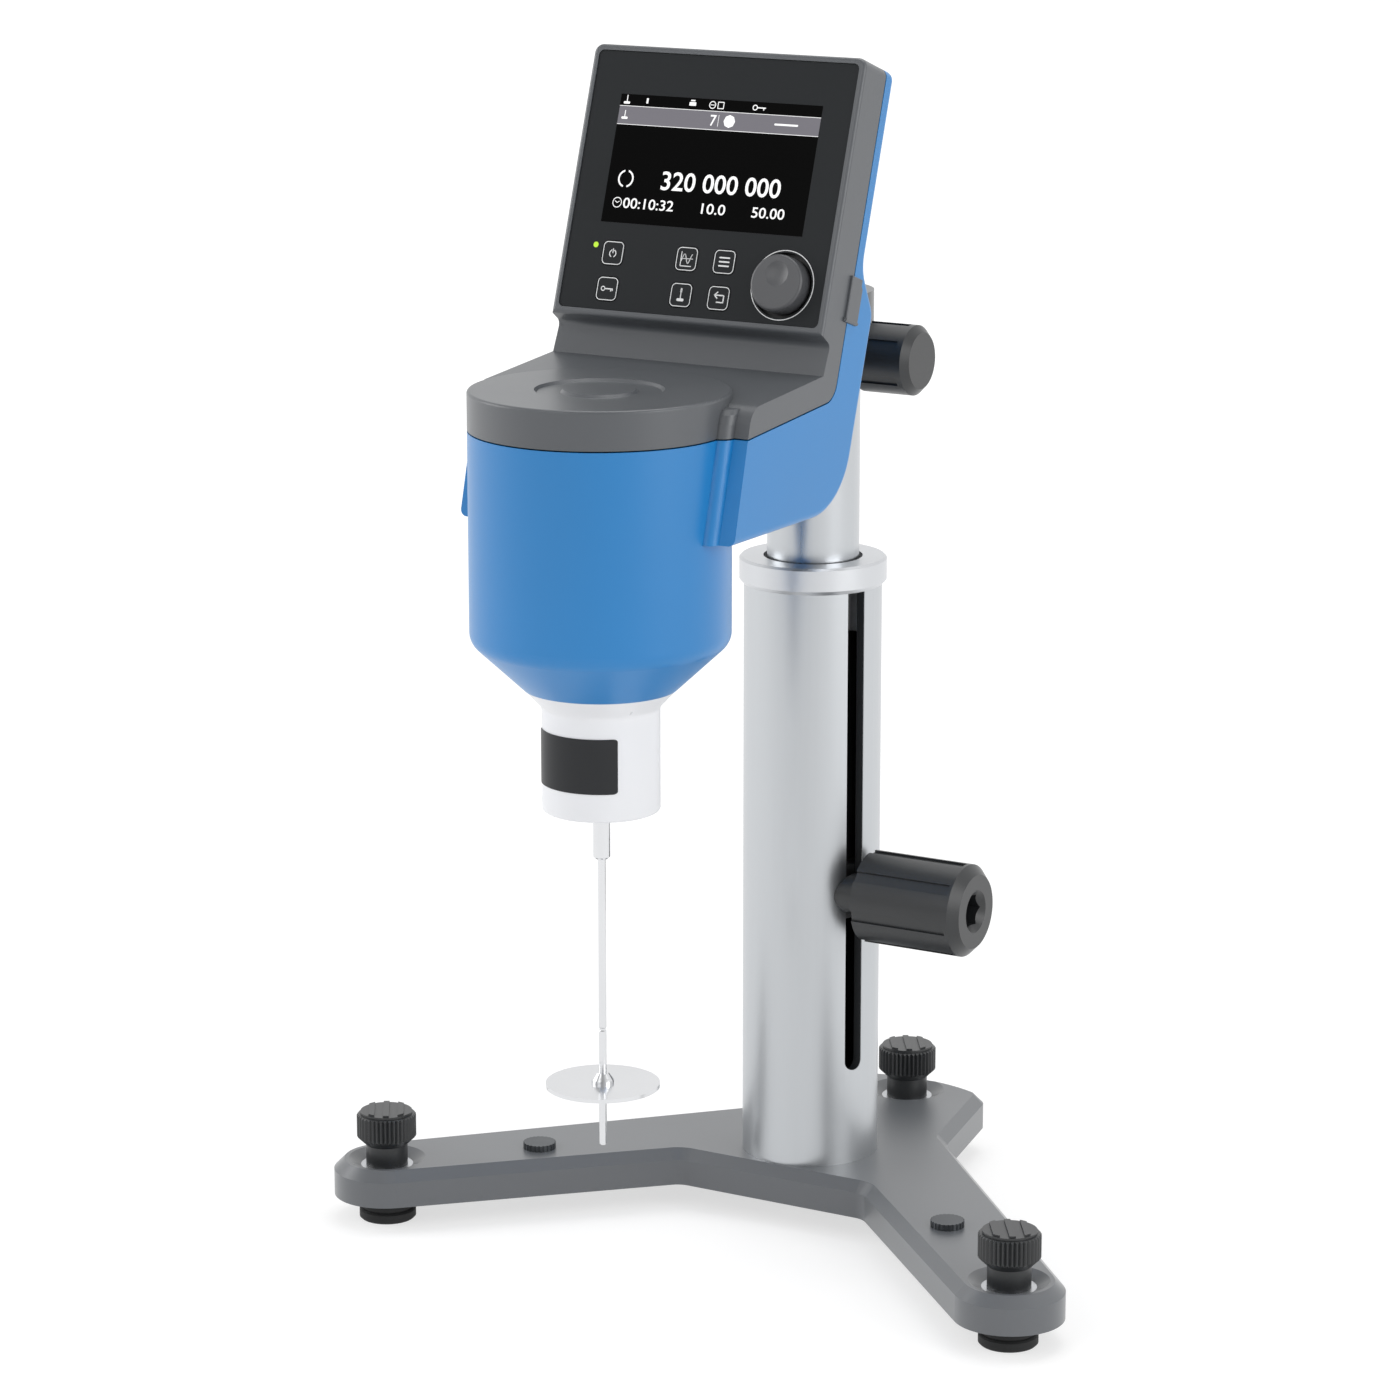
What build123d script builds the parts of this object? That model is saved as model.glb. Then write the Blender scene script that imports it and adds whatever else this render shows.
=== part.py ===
from build123d import *
import os
from math import atan2, cos, hypot, pi, radians, sin, sqrt, tan

# Rotational viscometer on a three-footed telescopic stand. Millimetres, +Z up, front towards -Y.
# The origin lies on the table, at the centre of the footprint of the whole object.

os.makedirs("parts", exist_ok=True)

# Fits
running_gap = 0.05
press_gap = 0.02
seam_gap = 0.6
panel_gap = 0.25

# Levelling feet
sole_radius = 12.5
sole_thickness = 4.8
foot_plate_radius = 12.0
foot_plate_thickness = 6.7
foot_stud_radius = 4.0
foot_stud_length = 31.0
foot_neck_radius = 9.2
foot_neck_height = 9.4
foot_skirt_radius = 13.1
foot_skirt_height = 10.2
foot_cap_radius = 11.4
foot_cap_height = 2.0
foot_teeth = 40
foot_lip = 0.6
foot_cone_height = 3.8
foot_edge = 0.8
foot_tooth = 1.3
foot_ridge_width = 2.6
foot_ridge_pitch = 6.4
foot_ridge_height = 0.8
foot_ridge_turn = 32.8
bush_radius = 10.5
bush_flange_radius = 11.5
bush_flange_thickness = 4.5
bush_length = 9.1

# Base plate, measured from the column axis
plate_thickness = 16.0
plate_chamfer = 4.5
front_foot_x = 153.6
front_foot_y = -108.8
rear_foot_y = 93.0
arm_tip_radius = 23.4
hub_front = 35.5
hub_front_half_width = 46.0
crotch_x = 47.5
crotch_y = 40.5
rear_half_width = 34.3
rear_corner_y = 105.5
rear_reach = 113.5
concave_radius = 9.0
rear_corner_radius = 9.0
recess_radius = 17.0
recess_depth = 2.9
plug_x = 102.0
plug_y = -64.0
plug_radius = 7.2
plug_height = 2.8
rear_screw_y = 54.0
plug_shank_radius = 4.3
plug_teeth = 24
rear_screw_radius = 2.5
base_screw_radius = 2.5
base_screw_length = 22.0
base_screw_head = 5.0
tube_screw_circle = 15.9

# Column
outer_tube_radius = 30.0
outer_tube_wall = 3.5
outer_tube_length = 256.8
inner_tube_radius = 20.0
inner_tube_wall = 2.5
inner_tube_top = 430.0
slot_width = 8.4
slot_offset = 11.2
slot_bottom = 70.0
collar_radius = 32.0
collar_height = 11.8
collar_hole_radius = 21.5
collar_spigot_length = 18.0
bush_wall = 3.2
bush_recess = 2.3
tube_plug_height = 18.0
cap_plug_length = 10.0
cap_thickness = 3.0

# Lower clamp
clamp_height = 150.6
shoe_height = 24.0
clamp_knob_radius = 20.1
clamp_knob_inner = 36.2
clamp_knob_length = 50.6
clamp_knob_grooves = 7
clamp_bolt_radius = 3.9
hex_across_flats = 13.0
hex_head_height = 5.3
saddle_radius = 9.0
saddle_gap = 0.3
grip_groove_width = 5.0
grip_groove_depth = 1.1
grip_ring = 5.5

# Upper clamp
sleeve_radius = 25.5
sleeve_bottom = 372.0
sleeve_height = 40.0
upper_knob_height = 385.0
upper_knob_radius = 15.0
upper_knob_inner = 26.5
upper_knob_length = 25.6
upper_knob_grooves = 6
upper_stud_radius = 3.9
bracket_half_width = 20.0
bracket_plate_half_width = 28.0
bracket_plate_thickness = 5.0
bracket_low = -34.0
bracket_high = 8.0
bracket_screw_x = 24.0
bracket_screw_radius = 2.0

# Head
head_reach = 176.5
barrel_radius = 52.7
barrel_corner_z = 293.0
cone_end_radius = 31.5
cone_end_z = 273.2
hood_top_z = 394.3
seam_z = 378.3
head_half_width = 64.0
shell_wall = 2.5
ear_height = 40.8
ear_ahead = 4.0
arm_front_lean = 14.8
hood_slope = 4.6
neck_foot_back = 67.9
neck_foot_z = 394.9
neck_waist_back = 73.5
neck_waist_z = 406.8
back_waist = 30.0
shoulder = 14.5
arm_depth = 41.3
heel_radius = 32.0
brow_radius = 9.0
blend_radius = 5.0
boss_radius = 4.0
boss_x = 57.2
boss_heights = (40.0, 98.0)
seam_rise = 4.6
screw_radius = 1.5
ledge_width = 2.4
boss_depth = 24.0
neck_hole_radius = 27.2
dish_inner_radius = 14.5
dish_outer_radius = 26.0
dish_depth = 1.1
pillar_circle = 42.0
pillar_radius = 4.0
pillar_bottom = 287.0
chassis_z = 296.0
board_z = 352.0
board_back = 59.5
board_deep = 36.0
board_thickness = 1.6
board_post_x = 47.0
board_post_back = (47.5, 71.5)
board_post_radius = 3.5
board_post_bottom = 339.4
socket_height = 52.0
inlet_x = 28.0
inlet_radius = 4.5
usb_x = -2.0
usb_width = 9.6
usb_tall = 8.6

# Cover of the side port, in display coordinates
cover_height = 6.1
cover_depth = 16.0
cover_tall = 19.0
cover_deep = 10.0
cover_thickness = 2.0
cover_proud = 1.2
cover_trunnion = 1.0
port_height = 10.5
port_depth = 20.3
port_tall = 10.0
port_deep = 4.4

# Display, measured in its own tilted plane
panel_tilt = 18.5
panel_foot_back = 67.5
panel_foot_z = 414.2
panel_half_width = 61.3
panel_height = 108.4
bezel_rim = 2.6
seam_depth = 18.9
display_depth = 26.6
panel_recess = 1.8
panel_thickness = 1.4
screen_width = 95.04
screen_height = 53.86
screen_middle = 63.5
key_size = 10.2
key_columns = (-39.2, -4.0, 13.7)
key_rows = (8.8, 23.8)
key_thickness = 2.4
key_corner = 2.4
key_proud = 0.2
key_flange = 0.8
board_depth = 4.4
board_half_width = 56.0
display_module_thickness = 5.0
key_travel = 0.4
light_x = -48.0
light_y = 26.8
light_radius = 1.2
dial_x = 42.0
dial_y = 16.3
dial_radius = 11.75
dial_height = 6.2
dial_well_radius = 13.4
dial_push = 0.6
dial_skirt_depth = 2.4
dimple_radius = 15.5
dimple_depth = 0.9
dimple_reach = 3.6
shaft_radius = 3.0
encoder_front = 6.0
encoder_length = 8.0

# Bearing housing and measuring side, on the spindle axis
neck_radius = 24.0
neck_corner_z = 265.4
neck_bottom_z = 222.4
coupling_radius = 3.5
coupling_seam_z = 213.7
coupling_bottom_z = 201.6
spindle_radius = 1.5875
disc_radius = 23.465
disc_top_z = 106.4
disc_thickness = 1.6
hub_top_z = 110.5
hub_widest_z = 107.6
hub_widest_radius = 4.6
spindle_tip_z = 79.4
neck_bore = 21.0
neck_gap = 0.15
spigot_bore = 24.0
ring_top_z = 279.0
ring_radius = 29.5
shaft_hole_radius = 5.0
cartridge_z = 226.5
cartridge_top_z = 270.0
cartridge_radius = 12.0
bearing_radius = 6.5
bearing_width = 4.5
bearing_low_z = 227.0
bearing_high_z = 262.0
cone_screw_turn = 61.0
plate_low_z = 234.3
plate_high_z = 256.9
plate_turn = -4.2
plate_half_angle = 51.8
plate_film = 0.3
measuring_shaft_radius = 2.0
stub_radius = 1.4
coupling_stub = 5.5
collet_radius = 4.5
collet_z = 303.5
groove_z = 129.2

# Drive inside the barrel
chassis_radius = 49.0
chassis_thickness = 4.0
standoff_circle = 34.0
standoff_radius = 3.5
motor_z = 336.0
motor_plate_radius = 38.0
motor_side = 42.3
motor_length = 38.0
motor_pilot_radius = 11.0
motor_screw_x = 15.5
motor_shaft_radius = 2.5
motor_shaft_z = 318.5
drive_hub_radius = 7.0
drive_hub_z = 311.0
drive_hub_length = 19.0
drive_disc_z = 316.0
measure_disc_z = 301.5
slotted_disc_radius = 22.0
slotted_disc_thickness = 1.2
disc_slots = 30
sensor_y = 30.0
post_circle = 14.0
post_radius = 1.2
spring_z = 306.0
spring_height = 2.5
spring_strip = 0.5
spring_turns = 4.0
spring_steps = 80
spring_inner_radius = 5.3
spring_outer_radius = 12.4

# Heights and places that follow
plate_bottom = sole_thickness + foot_plate_thickness
plate_top = plate_bottom + plate_thickness
recess_floor = plate_top - recess_depth
bush_bottom = recess_floor - bush_length
neck_top = recess_floor + foot_neck_height
skirt_bottom = neck_top + foot_cone_height
skirt_top = skirt_bottom + foot_skirt_height
tube_top = plate_top + outer_tube_length
collar_top = tube_top + collar_height
column_y = (head_reach + barrel_radius - rear_reach) / 2
spindle_y = column_y - head_reach
panel_foot_y = panel_foot_back - head_reach
neck_foot_y = neck_foot_back - head_reach
neck_waist_y = neck_waist_back - head_reach
arm_front_bottom_y = -ear_ahead - head_reach
arm_bottom_z = seam_z - ear_height
board_y = board_back - head_reach
board_post_y = [back - head_reach for back in board_post_back]
slot_y = column_y - slot_offset
tube_bore = outer_tube_radius - outer_tube_wall
feet = {
    "left": (-front_foot_x, column_y + front_foot_y),
    "right": (front_foot_x, column_y + front_foot_y),
    "rear": (0, column_y + rear_foot_y),
}


def level(x, y, z):
    """Horizontal working plane with its origin at a point."""
    return Plane(origin=(x, y, z), x_dir=(1, 0, 0), z_dir=(0, 0, 1))


def sideways(x, y, z):
    """Upright plane that faces the operator's right, with local x to the rear and local y up."""
    return Plane(origin=(x, y, z), x_dir=(0, 1, 0), z_dir=(1, 0, 0))


def turned(x, y, profile):
    """Solid of revolution about the upright axis at (x, y), from (radius, height) points."""
    with BuildPart() as solid:
        with BuildSketch(sideways(x, y, 0)):
            with BuildLine():
                Polyline(*profile, close=True)
            make_face()
        revolve(axis=Axis((x, y, 0), (0, 0, 1)))
    return solid.part


def turned_sideways(x, y, z, profile):
    """Solid of revolution about the axis through a point along X, from (distance, radius) points."""
    with BuildPart() as solid:
        with BuildSketch(Plane(origin=(x, y, z), x_dir=(1, 0, 0), z_dir=(0, -1, 0))):
            with BuildLine():
                Polyline(*profile, close=True)
            make_face()
        revolve(axis=Axis((x, y, z), (1, 0, 0)))
    return solid.part


def display_point(height, depth):
    """Side-view point (distance behind the column axis, height) from display coordinates."""
    tilt = radians(panel_tilt)
    return (
        panel_foot_y + height * sin(tilt) + depth * cos(tilt),
        panel_foot_z + height * cos(tilt) - depth * sin(tilt),
    )


def front_plane(depth):
    """Working plane parallel to the panel, facing the operator; local y runs up the panel."""
    tilt = radians(panel_tilt)
    y, z = display_point(0, depth)
    return Plane(origin=(0, column_y + y, z), x_dir=(1, 0, 0), z_dir=(0, -cos(tilt), sin(tilt)))


def back_plane(depth):
    """Working plane parallel to the panel, facing the rear; local x runs to the operator's left."""
    tilt = radians(panel_tilt)
    y, z = display_point(0, depth)
    return Plane(origin=(0, column_y + y, z), x_dir=(-1, 0, 0), z_dir=(0, cos(tilt), -sin(tilt)))


def box(plane, x, y, width, height, depth, corner=0.0):
    """Block on a plane: centre, size, thickness along the normal, corner radius."""
    with BuildPart() as block:
        with BuildSketch(plane):
            with Locations((x, y)):
                if corner:
                    RectangleRounded(width, height, corner)
                else:
                    Rectangle(width, height)
        extrude(amount=depth)
    return block.part


def rod(plane, places, radius, depth, bore=0.0):
    """Round rods or tubes on a plane at the given places."""
    with BuildPart() as rods:
        with BuildSketch(plane):
            with Locations(*places):
                Circle(radius)
                if bore:
                    Circle(bore, mode=Mode.SUBTRACT)
        extrude(amount=depth)
    return rods.part


def socket_screws(plane, places, radius, length, head_height):
    """Hexagon socket screws: head on the plane, shank against its normal."""
    with BuildPart() as screws:
        with BuildSketch(plane):
            with Locations(*places):
                Circle(radius * 1.7)
        extrude(amount=head_height)
        with BuildSketch(plane):
            with Locations(*places):
                Circle(radius)
        extrude(amount=-length)
        with BuildSketch(plane.offset(head_height)):
            with Locations(*places):
                RegularPolygon(radius * 0.8, 6, major_radius=False)
        extrude(amount=-head_height * 0.6, mode=Mode.SUBTRACT)
    return screws.part


def tangent_point(point, centre, radius, side):
    """Where a line from a point touches a circle; side is 1 for the left tangent, -1 for the right."""
    dx = centre[0] - point[0]
    dy = centre[1] - point[1]
    distance = hypot(dx, dy)
    reach = sqrt(distance**2 - radius**2)
    turn = side * atan2(radius, reach)
    heading = atan2(dy, dx) + turn
    return point[0] + reach * cos(heading), point[1] + reach * sin(heading)


def keep(piece, name):
    """Label a finished piece and write it."""
    piece.part.label = name
    export_step(piece.part, f"parts/{name}.step")


# Base plate: half outline mirrored, arms tangent to their round tips
tip = (front_foot_x, front_foot_y)
front_corner = (hub_front_half_width, -hub_front)
crotch = (crotch_x, crotch_y)
tip_front = tangent_point(front_corner, tip, arm_tip_radius, -1)
tip_rear = tangent_point(crotch, tip, arm_tip_radius, 1)
tip_end = (tip[0] + arm_tip_radius * cos(radians(-45)), tip[1] + arm_tip_radius * sin(radians(-45)))
with BuildPart() as base_plate:
    with BuildSketch(level(0, column_y, plate_bottom)) as plan:
        with BuildLine():
            Polyline((0, -hub_front), front_corner, tip_front)
            ThreePointArc(tip_front, tip_end, tip_rear)
            Polyline(tip_rear, crotch, (rear_half_width, rear_corner_y))
            rear_turn = 2 * atan2(rear_reach - rear_corner_y, rear_half_width)
            rear_radius = rear_half_width / sin(rear_turn)
            RadiusArc((rear_half_width, rear_corner_y), (0, rear_reach), -rear_radius)
            Line((0, rear_reach), (0, -hub_front))
        make_face()
        mirror(about=Plane.YZ)
        corners = plan.vertices()
        fillet(
            [v for v in corners if hypot(abs(v.X) - front_corner[0], v.Y - front_corner[1]) < 1],
            concave_radius,
        )
        corners = plan.vertices()
        fillet([v for v in corners if hypot(abs(v.X) - crotch[0], v.Y - crotch[1]) < 1], concave_radius)
        corners = plan.vertices()
        fillet(
            [v for v in corners if hypot(abs(v.X) - rear_half_width, v.Y - rear_corner_y) < 1],
            rear_corner_radius,
        )
    extrude(amount=plate_thickness)
    chamfer(base_plate.edges().group_by(Axis.Z)[-1], length=plate_chamfer)
    with Locations(*[(x, y, plate_top) for x, y in feet.values()]):
        Cone(
            bush_flange_radius,
            recess_radius,
            recess_depth,
            align=(Align.CENTER, Align.CENTER, Align.MAX),
            mode=Mode.SUBTRACT,
        )
    with Locations(*[(x, y, recess_floor) for x, y in feet.values()]):
        CounterBoreHole(
            bush_radius + press_gap,
            bush_flange_radius + press_gap,
            bush_flange_thickness,
            plate_thickness,
        )
    with Locations(*[(x, column_y + plug_y, plate_top) for x in (-plug_x, plug_x)]):
        Hole(plug_shank_radius + press_gap, plate_thickness / 2)
    with Locations((0, column_y + rear_screw_y, plate_top)):
        Hole(rear_screw_radius + press_gap, plate_thickness / 2)
    with Locations(level(0, column_y, plate_bottom).location * Rotation(180, 0, 0)):
        with PolarLocations(tube_screw_circle, 3, start_angle=90):
            CounterBoreHole(
                base_screw_radius + 0.3,
                base_screw_radius * 1.7 + 0.3,
                base_screw_head + 0.5,
                plate_thickness,
            )
keep(base_plate, "base_plate")

# Bushes pressed into the base, one under each foot knob
with BuildPart() as foot_bushes:
    for x, y in feet.values():
        add(
            turned(
                x,
                y,
                [
                    (foot_neck_radius + running_gap, recess_floor),
                    (bush_flange_radius, recess_floor),
                    (bush_flange_radius, recess_floor - bush_flange_thickness),
                    (bush_radius, recess_floor - bush_flange_thickness),
                    (bush_radius, bush_bottom),
                    (foot_neck_radius + running_gap, bush_bottom),
                ],
            )
        )
keep(foot_bushes, "foot_bushes")

# Levelling feet: the knob is a captive nut, the pad and its stud rise and fall in it
knob_bottom = plate_bottom + foot_edge
for side, (x, y) in feet.items():
    with BuildPart() as foot_knob:
        with BuildSketch(level(x, y, neck_top)):
            Circle(foot_skirt_radius)
            with PolarLocations(foot_skirt_radius, foot_teeth):
                Rectangle(foot_tooth, foot_tooth, rotation=45, mode=Mode.SUBTRACT)
        extrude(amount=foot_cone_height + foot_skirt_height)
        add(
            turned(
                x,
                y,
                [
                    (0, neck_top),
                    (foot_neck_radius, neck_top),
                    (foot_skirt_radius, skirt_bottom),
                    (foot_skirt_radius, skirt_top - foot_edge),
                    (foot_skirt_radius - foot_edge, skirt_top),
                    (0, skirt_top),
                ],
            ),
            mode=Mode.INTERSECT,
        )
        add(
            turned(
                x,
                y,
                [
                    (0, knob_bottom),
                    (foot_neck_radius + foot_lip, knob_bottom),
                    (foot_neck_radius + foot_lip, bush_bottom - foot_lip),
                    (foot_neck_radius, bush_bottom - foot_lip),
                    (foot_neck_radius, neck_top),
                    (0, neck_top),
                ],
            )
        )
        with BuildSketch(level(x, y, skirt_top)):
            Circle(foot_cap_radius)
        extrude(amount=foot_cap_height - foot_ridge_height)
        turn = radians(foot_ridge_turn)
        with BuildSketch(
            Plane(
                origin=(x, y, skirt_top + foot_cap_height - foot_ridge_height),
                x_dir=(cos(turn), sin(turn), 0),
                z_dir=(0, 0, 1),
            )
        ):
            Circle(foot_cap_radius - foot_edge)
            with GridLocations(foot_ridge_pitch, 0, 4, 1):
                Rectangle(foot_ridge_pitch - foot_ridge_width, 2 * foot_cap_radius, mode=Mode.SUBTRACT)
        extrude(amount=foot_ridge_height)
        with BuildSketch(level(x, y, knob_bottom)):
            Circle(foot_stud_radius + running_gap)
        extrude(amount=foot_stud_length, mode=Mode.SUBTRACT)
    keep(foot_knob, f"foot_knob_{side}")

    with BuildPart() as foot_pad:
        add(rod(level(x, y, 0), [(0, 0)], sole_radius, sole_thickness))
        chamfer(foot_pad.edges().filter_by(GeomType.CIRCLE), length=foot_edge)
        add(rod(level(x, y, sole_thickness), [(0, 0)], foot_plate_radius - foot_edge, foot_edge))
        add(
            rod(
                level(x, y, sole_thickness + foot_edge),
                [(0, 0)],
                foot_plate_radius,
                foot_plate_thickness - foot_edge,
            )
        )
        add(rod(level(x, y, plate_bottom), [(0, 0)], foot_stud_radius, foot_stud_length - 1))
    keep(foot_pad, f"foot_pad_{side}")

# Knurled plugs in the front arms
plug_places = [(-plug_x, 0), (plug_x, 0)]
with BuildPart() as arm_plugs:
    with BuildSketch(level(0, column_y + plug_y, plate_top)):
        with Locations(*plug_places):
            Circle(plug_radius)
            with PolarLocations(plug_radius, plug_teeth):
                Circle(foot_tooth / 3, mode=Mode.SUBTRACT)
    extrude(amount=plug_height)
    add(rod(level(0, column_y + plug_y, plate_top), plug_places, plug_shank_radius, 1 - plate_thickness / 2))
keep(arm_plugs, "arm_plugs")

# Grub screw behind the column
with BuildPart() as base_rear_screw:
    with BuildSketch(level(0, column_y + rear_screw_y, plate_top - 0.6)):
        Circle(rear_screw_radius)
    extrude(amount=-6)
    with BuildSketch(level(0, column_y + rear_screw_y, plate_top - 0.6)):
        RegularPolygon(1.5, 6, major_radius=False)
    extrude(amount=-2.5, mode=Mode.SUBTRACT)
keep(base_rear_screw, "base_rear_screw")

# Column: plug in the foot of the tube, its screws, slotted outer tube, collar and guide bush
under_base = Plane(
    origin=(0, column_y, plate_bottom + base_screw_head + 0.5),
    x_dir=(1, 0, 0),
    z_dir=(0, 0, -1),
)
tube_screw_places = [
    (tube_screw_circle * cos(radians(angle)), tube_screw_circle * sin(radians(angle)))
    for angle in (90, 210, 330)
]
with BuildPart() as tube_plug:
    add(rod(level(0, column_y, plate_top), [(0, 0)], tube_bore - press_gap, tube_plug_height))
    with Locations(under_base.location):
        with Locations(*tube_screw_places):
            Cylinder(base_screw_radius + press_gap, 4 * tube_plug_height, mode=Mode.SUBTRACT)
keep(tube_plug, "tube_plug")

with BuildPart() as tube_screws:
    add(
        socket_screws(
            under_base, tube_screw_places, base_screw_radius, base_screw_length, base_screw_head
        )
    )
keep(tube_screws, "tube_screws")

with BuildPart() as outer_tube:
    add(rod(level(0, column_y, plate_top), [(0, 0)], outer_tube_radius, outer_tube_length, tube_bore))
    with BuildSketch(sideways(0, slot_y, slot_bottom + slot_width / 2)):
        Circle(slot_width / 2)
        Rectangle(slot_width, tube_top - slot_bottom, align=(Align.CENTER, Align.MIN))
    extrude(amount=outer_tube_radius, mode=Mode.SUBTRACT)
keep(outer_tube, "outer_tube")

bush_outer_radius = inner_tube_radius + bush_wall
with BuildPart() as collar:
    add(
        turned(
            0,
            column_y,
            [
                (collar_hole_radius, collar_top),
                (collar_radius - 1, collar_top),
                (collar_radius, collar_top - 1),
                (collar_radius, tube_top + 1.8),
                (outer_tube_radius + 0.4, tube_top),
                (tube_bore - press_gap, tube_top),
                (tube_bore - press_gap, tube_top - collar_spigot_length),
                (bush_outer_radius + press_gap, tube_top - collar_spigot_length),
                (bush_outer_radius + press_gap, collar_top - bush_recess),
                (collar_hole_radius, collar_top - bush_recess),
            ],
        )
    )
    with BuildSketch(sideways(0, slot_y, tube_top - collar_spigot_length)):
        Rectangle(slot_width, collar_spigot_length, align=(Align.CENTER, Align.MIN))
    extrude(amount=outer_tube_radius, mode=Mode.SUBTRACT)
keep(collar, "collar")

with BuildPart() as guide_bush:
    add(
        rod(
            level(0, column_y, tube_top - collar_spigot_length),
            [(0, 0)],
            bush_outer_radius,
            collar_spigot_length + collar_height - bush_recess,
            inner_tube_radius + running_gap,
        )
    )
keep(guide_bush, "guide_bush")

# Mast: inner tube, cap, guide shoe that takes the clamp bolt, saddle washer on the outer tube
shoe_bottom = clamp_height - shoe_height / 2
inner_tube_bore = inner_tube_radius - inner_tube_wall
with BuildPart() as inner_tube:
    add(
        rod(
            level(0, column_y, shoe_bottom),
            [(0, 0)],
            inner_tube_radius,
            inner_tube_top - shoe_bottom,
            inner_tube_bore,
        )
    )
keep(inner_tube, "inner_tube")

with BuildPart() as inner_tube_cap:
    add(
        turned(
            0,
            column_y,
            [
                (0, inner_tube_top - cap_plug_length),
                (inner_tube_bore - press_gap, inner_tube_top - cap_plug_length),
                (inner_tube_bore - press_gap, inner_tube_top),
                (inner_tube_radius, inner_tube_top),
                (inner_tube_radius, inner_tube_top + cap_thickness - 1),
                (inner_tube_radius - 1, inner_tube_top + cap_thickness),
                (0, inner_tube_top + cap_thickness),
            ],
        )
    )
keep(inner_tube_cap, "inner_tube_cap")

with BuildPart() as guide_shoe:
    add(
        rod(
            level(0, column_y, shoe_bottom),
            [(0, 0)],
            tube_bore - running_gap,
            shoe_height,
            inner_tube_radius + press_gap,
        )
    )
    with BuildSketch(sideways(0, slot_y, clamp_height)):
        Circle(clamp_bolt_radius + running_gap)
    extrude(amount=outer_tube_radius, mode=Mode.SUBTRACT)
keep(guide_shoe, "guide_shoe")

with BuildPart() as saddle_washer:
    with BuildSketch(sideways(clamp_knob_inner - running_gap, slot_y, clamp_height)):
        Circle(saddle_radius)
        Circle(clamp_bolt_radius + saddle_gap, mode=Mode.SUBTRACT)
    extrude(amount=inner_tube_radius - clamp_knob_inner)
    with Locations((0, column_y, clamp_height)):
        Cylinder(outer_tube_radius + saddle_gap, 3 * saddle_radius, mode=Mode.SUBTRACT)
keep(saddle_washer, "saddle_washer")


def grip(x, y, z, radius, length, grooves):
    """Clamp knob along X: blind grooves from its inner end, chamfered outer end."""
    with BuildPart() as knob:
        with BuildSketch(sideways(x, y, z)):
            Circle(radius)
            with PolarLocations(radius, grooves, start_angle=90):
                Rectangle(2 * grip_groove_depth, grip_groove_width, mode=Mode.SUBTRACT)
        extrude(amount=length - grip_ring)
        with BuildSketch(sideways(x + length - grip_ring, y, z)):
            Circle(radius)
        extrude(amount=grip_ring)
        end_edge = knob.edges().filter_by(GeomType.CIRCLE).sort_by(Axis.X)[-1]
        chamfer(end_edge, length=min(radius / 5, grip_ring - 1.5))
    return knob.part


bolt_head_x = clamp_knob_inner + clamp_knob_length * 0.45
bolt_start_x = sqrt(inner_tube_radius**2 - (slot_offset - clamp_bolt_radius) ** 2) + saddle_gap
knob_end_x = clamp_knob_inner + clamp_knob_length
bolt_axis = [(0, 0)]
with BuildPart() as clamp_knob:
    add(
        grip(
            clamp_knob_inner,
            slot_y,
            clamp_height,
            clamp_knob_radius,
            clamp_knob_length,
            clamp_knob_grooves,
        )
    )
    with BuildSketch(sideways(clamp_knob_inner, slot_y, clamp_height)):
        Circle(clamp_bolt_radius + press_gap)
    extrude(amount=clamp_knob_length, mode=Mode.SUBTRACT)
    with BuildSketch(sideways(bolt_head_x, slot_y, clamp_height)):
        RegularPolygon(hex_across_flats / 2 + running_gap, 6, major_radius=False)
    extrude(amount=clamp_knob_length, mode=Mode.SUBTRACT)
    add(
        turned_sideways(
            0,
            slot_y,
            clamp_height,
            [(knob_end_x - 3.2, 0), (knob_end_x - 3.2, 6.2), (knob_end_x, 9.3), (knob_end_x, 0)],
        ),
        mode=Mode.SUBTRACT,
    )
keep(clamp_knob, "clamp_knob")

with BuildPart() as clamp_bolt:
    add(
        rod(
            sideways(bolt_start_x, slot_y, clamp_height),
            bolt_axis,
            clamp_bolt_radius,
            bolt_head_x - bolt_start_x,
        )
    )
    with BuildSketch(sideways(bolt_head_x, slot_y, clamp_height)):
        RegularPolygon(hex_across_flats / 2, 6, major_radius=False)
    extrude(amount=hex_head_height)
keep(clamp_bolt, "clamp_bolt")

stud_start_x = inner_tube_radius + 1.5 + saddle_gap
stud_end_x = upper_knob_inner + upper_knob_length / 2
with BuildPart() as upper_knob:
    add(
        grip(
            upper_knob_inner,
            column_y,
            upper_knob_height,
            upper_knob_radius,
            upper_knob_length,
            upper_knob_grooves,
        )
    )
    with BuildSketch(sideways(upper_knob_inner, column_y, upper_knob_height)):
        Circle(upper_stud_radius + press_gap)
    extrude(amount=upper_knob_length / 2, mode=Mode.SUBTRACT)
keep(upper_knob, "upper_knob")

with BuildPart() as upper_stud:
    add(
        rod(
            sideways(stud_start_x, column_y, upper_knob_height),
            bolt_axis,
            upper_stud_radius,
            stud_end_x - stud_start_x,
        )
    )
keep(upper_stud, "upper_stud")

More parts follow.
